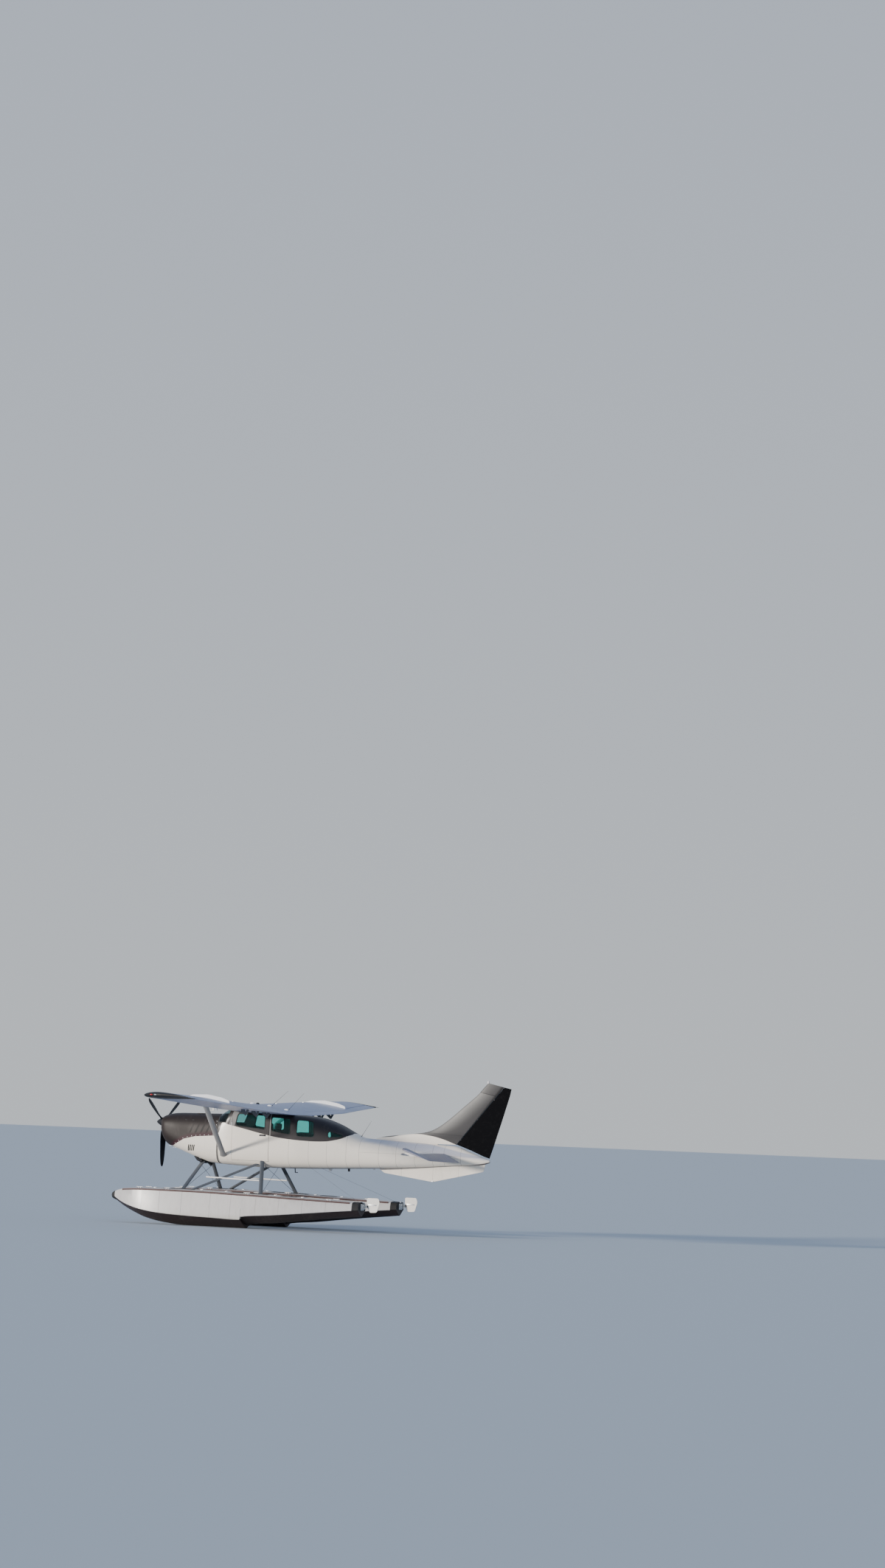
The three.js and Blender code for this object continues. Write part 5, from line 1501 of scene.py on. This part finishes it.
def strutFoot(bm, row):
    foot, way = row["start"], (row["end"] - row["start"]).normalized()
    block(bm, foot + Vector((-0.085, -0.05, -0.03)), foot + Vector((0.085, 0.05, 0.035)), 0.01, 3)
    rod(bm, foot + way * 0.06 - sideways * 0.035, foot + way * 0.06 + sideways * 0.035, 0.011)


# Bracing from a strut's foot to the head of the one opposite
def crossWire(bm, row, high):
    start, end = row["start"].lerp(row["end"], 0.05), row["start"].lerp(row["end"], high)
    rod(bm, start, Vector((end.x, -end.y, end.z)), 0.0042, 10)


def sternPin(bm, y):
    rod(bm, onFloat(5.61, y, 0.6), onFloat(5.628, y, 0.6), 0.012, 16)
    ball(bm, onFloat(5.628, y, 0.6), (0.01, 0.012, 0.012), 16)


def buildFloatTrim():
    addPair("deckRails", railBrown, [
        (floatStrip, -0.15, 5.4, 0.2, railSection, side) for side in (-1, 1)])
    keels = [(floatStrip, *ends, 0.15, keelSection) for ends in ((0.1, 2.83), (2.87, 5.2))]
    addPair("keelStrips", alloy, keels)
    addPair("deckHatches", alloy, [(hatch, s) for s in (0.6, 1.75, 2.35, 3.55, 4.2, 4.8)])
    addPair("cleats", alloy, [
        (cleat, station, side) for station in (0.3, 1.0, 2.95, 4.9) for side in (-1, 1)])
    walks = [(floatStrip, *ends, 0.12, walkSection) for ends in ((0.85, 1.62), (2.5, 3.4), (3.7, 4.1))]
    addPair("walkStrips", walkGrip, walks)
    addPair("strutFeet", alloy, [
        *[(strutFoot, struts[name]) for name in ("frontStrut", "rearStrut", "diagonal")],
        *[(block, at(station + 0.06, 0.86, 0.66), at(station - 0.06, 0.885, 0.72), 0.004)
          for station, node in spreaders.values()]])
    addPair("braceWires", wireSteel, [
        (crossWire, struts["rearStrut"], 0.93), (crossWire, struts["frontStrut"], 0.9),
        (bent, [at(4.0, 0.3, 1.385), at(5.5, 1.12, 0.7), at(5.6, 1.14, 0.655)], 0.0022, 8)])
    addPair("sternGear", alloy, [
        (block, onFloat(5.625, -0.09, 0.52), onFloat(5.598, 0.09, 0.66), 0.006),
        (rod, onFloat(5.68, 0, 0.652), onFloat(5.68, 0, 0.7), 0.008, 14), (sternPin, -0.06), (sternPin, 0.06),
        (rod, onFloat(5.56, -0.04, 0.69), onFloat(5.64, -0.04, 0.69), 0.02)])
    addPair("tillerArm", alloy, body="water_rudder_{}", parts=[
        (block, onFloat(5.7, -0.07, 0.6), onFloat(5.686, 0.07, 0.612), 0.002),
        *[(block, onFloat(5.95, side * 0.005, 0.635), onFloat(5.76, side * 0.009, 0.66), 0.001)
          for side in (-1, 1)]])


def buildTailTrim():
    addPiece("finBeacon", beaconLens, [
        (rod, at(8.04, 0, 3.43), at(8.04, 0, 3.452), 0.028, 24),
        (ball, at(8.04, 0, 3.458), (0.026, 0.026, 0.034), 24)])
    # A black rubber block on the front of each elevator horn shows the shade in the gap ahead of the horn:
    # painted shade
    nose = addPiece("hornShadeBlock", rubber, [
        (block, at(6.835, 1.795, 1.779), at(6.787, 1.955, 1.821), 0.012, 4), (hang,)], "elevator")
    dress(mirrored(nose, "hornNoseRight"), rubber, body="elevator")
    addPiece("tailLamp", clearLens, [(ball, at(8.14, 0, 1.706), (0.03, 0.024, 0.024))])
    addPiece("tailFittings", alloy, [
        (block, at(5.64, -0.016, 1.425), at(5.6, 0.016, 1.445), 0.003),
        (block, at(6.83, -0.016, 1.2), at(6.79, 0.016, 1.225), 0.003),
        (rod, at(5.4, 0, 1.43), at(5.4, 0, 1.405), 0.022, 18)])


for build in (buildCabin, buildGlass, buildCone, buildCowl, buildPropeller, buildWings, buildStruts, buildFin,
              buildTailplane, buildFloats, buildSeals, buildDoorTrim, buildSeats, buildPanel, buildAntennas,
              buildWingTrim, buildCowlTrim, buildFloatTrim, buildTailTrim):
    build()
    print(build.__name__, "done")

# CAD nodes whose own shape stays
kept = {"firewall": panelBlack, "cabin_floor": carpet, "instrument_panel": panelBlack,
        "engine_block": castings, "front_gear_fitting": propBlack}
for node, finish in kept.items():
    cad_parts[node].data.materials.clear()
    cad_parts[node].data.materials.append(finish)

# Stage: a plain pale floor, soft light and the photograph's camera
stage = {"floorRadius": 420, "floor": (0.52, 0.57, 0.61), "sky": 0.85, "keyStrength": 4.4, "keyAngle": 5,
         "keyHeight": 9, "keyTurn": 40}
photoCamera = {
    "place": (-32.4676, 78.9258, 2.5203), "lens": 86.407,
    "right": (-0.9358, -0.3501, 0.0405), "up": (0.0063, 0.0981, 0.9952), "back": (-0.3524, 0.9315, -0.0896),
}


def buildStage():
    bm = bmesh.new()
    bmesh.ops.create_circle(bm, cap_ends=True, segments=96, radius=stage["floorRadius"])
    floor = pieceFrom("studioFloor", bm)
    floor.location.z = -0.001
    ground = Finish("studioFloor", colour=stage["floor"], roughness=0.7, specular=0.2)
    floor.data.materials.append(ground.material)

    world = bpy.data.worlds.new("studio")
    scene.world = world
    world.use_nodes = True
    tree = world.node_tree
    place = tree.nodes.new("ShaderNodeTexCoord")
    split = tree.nodes.new("ShaderNodeSeparateXYZ")
    ramp = tree.nodes.new("ShaderNodeValToRGB")
    tree.links.new(place.outputs["Generated"], split.inputs[0])
    tree.links.new(split.outputs[2], ramp.inputs[0])
    tree.links.new(ramp.outputs[0], tree.nodes["Background"].inputs["Color"])
    ramp.color_ramp.elements[0].color = (0.72, 0.76, 0.8, 1)
    ramp.color_ramp.elements[1].color = (0.3, 0.44, 0.72, 1)
    tree.nodes["Background"].inputs["Strength"].default_value = stage["sky"]

    lamp = bpy.data.lights.new("softKey", "SUN")
    lamp.energy = stage["keyStrength"]
    lamp.angle = math.radians(stage["keyAngle"])
    lamp.color = (1.0, 0.94, 0.86)
    key = bpy.data.objects.new("softKey", lamp)
    turn, height = math.radians(stage["keyTurn"]), math.radians(stage["keyHeight"])
    toward = Vector((math.sin(turn) * math.cos(height), math.cos(turn) * math.cos(height), math.sin(height)))
    key.rotation_euler = toward.to_track_quat("Z", "Y").to_euler()
    scene.collection.objects.link(key)

    lens = bpy.data.cameras.new("photoCamera")
    lens.lens = photoCamera["lens"]
    lens.clip_end = 2000
    camera = bpy.data.objects.new("photoCamera", lens)
    turned = Matrix([photoCamera[axis] for axis in ("right", "up", "back")]).transposed()
    camera.matrix_world = Matrix.Translation(photoCamera["place"]) @ turned.to_4x4()
    scene.collection.objects.link(camera)
    scene.camera = camera


buildStage()
print("pieces:", len(made))
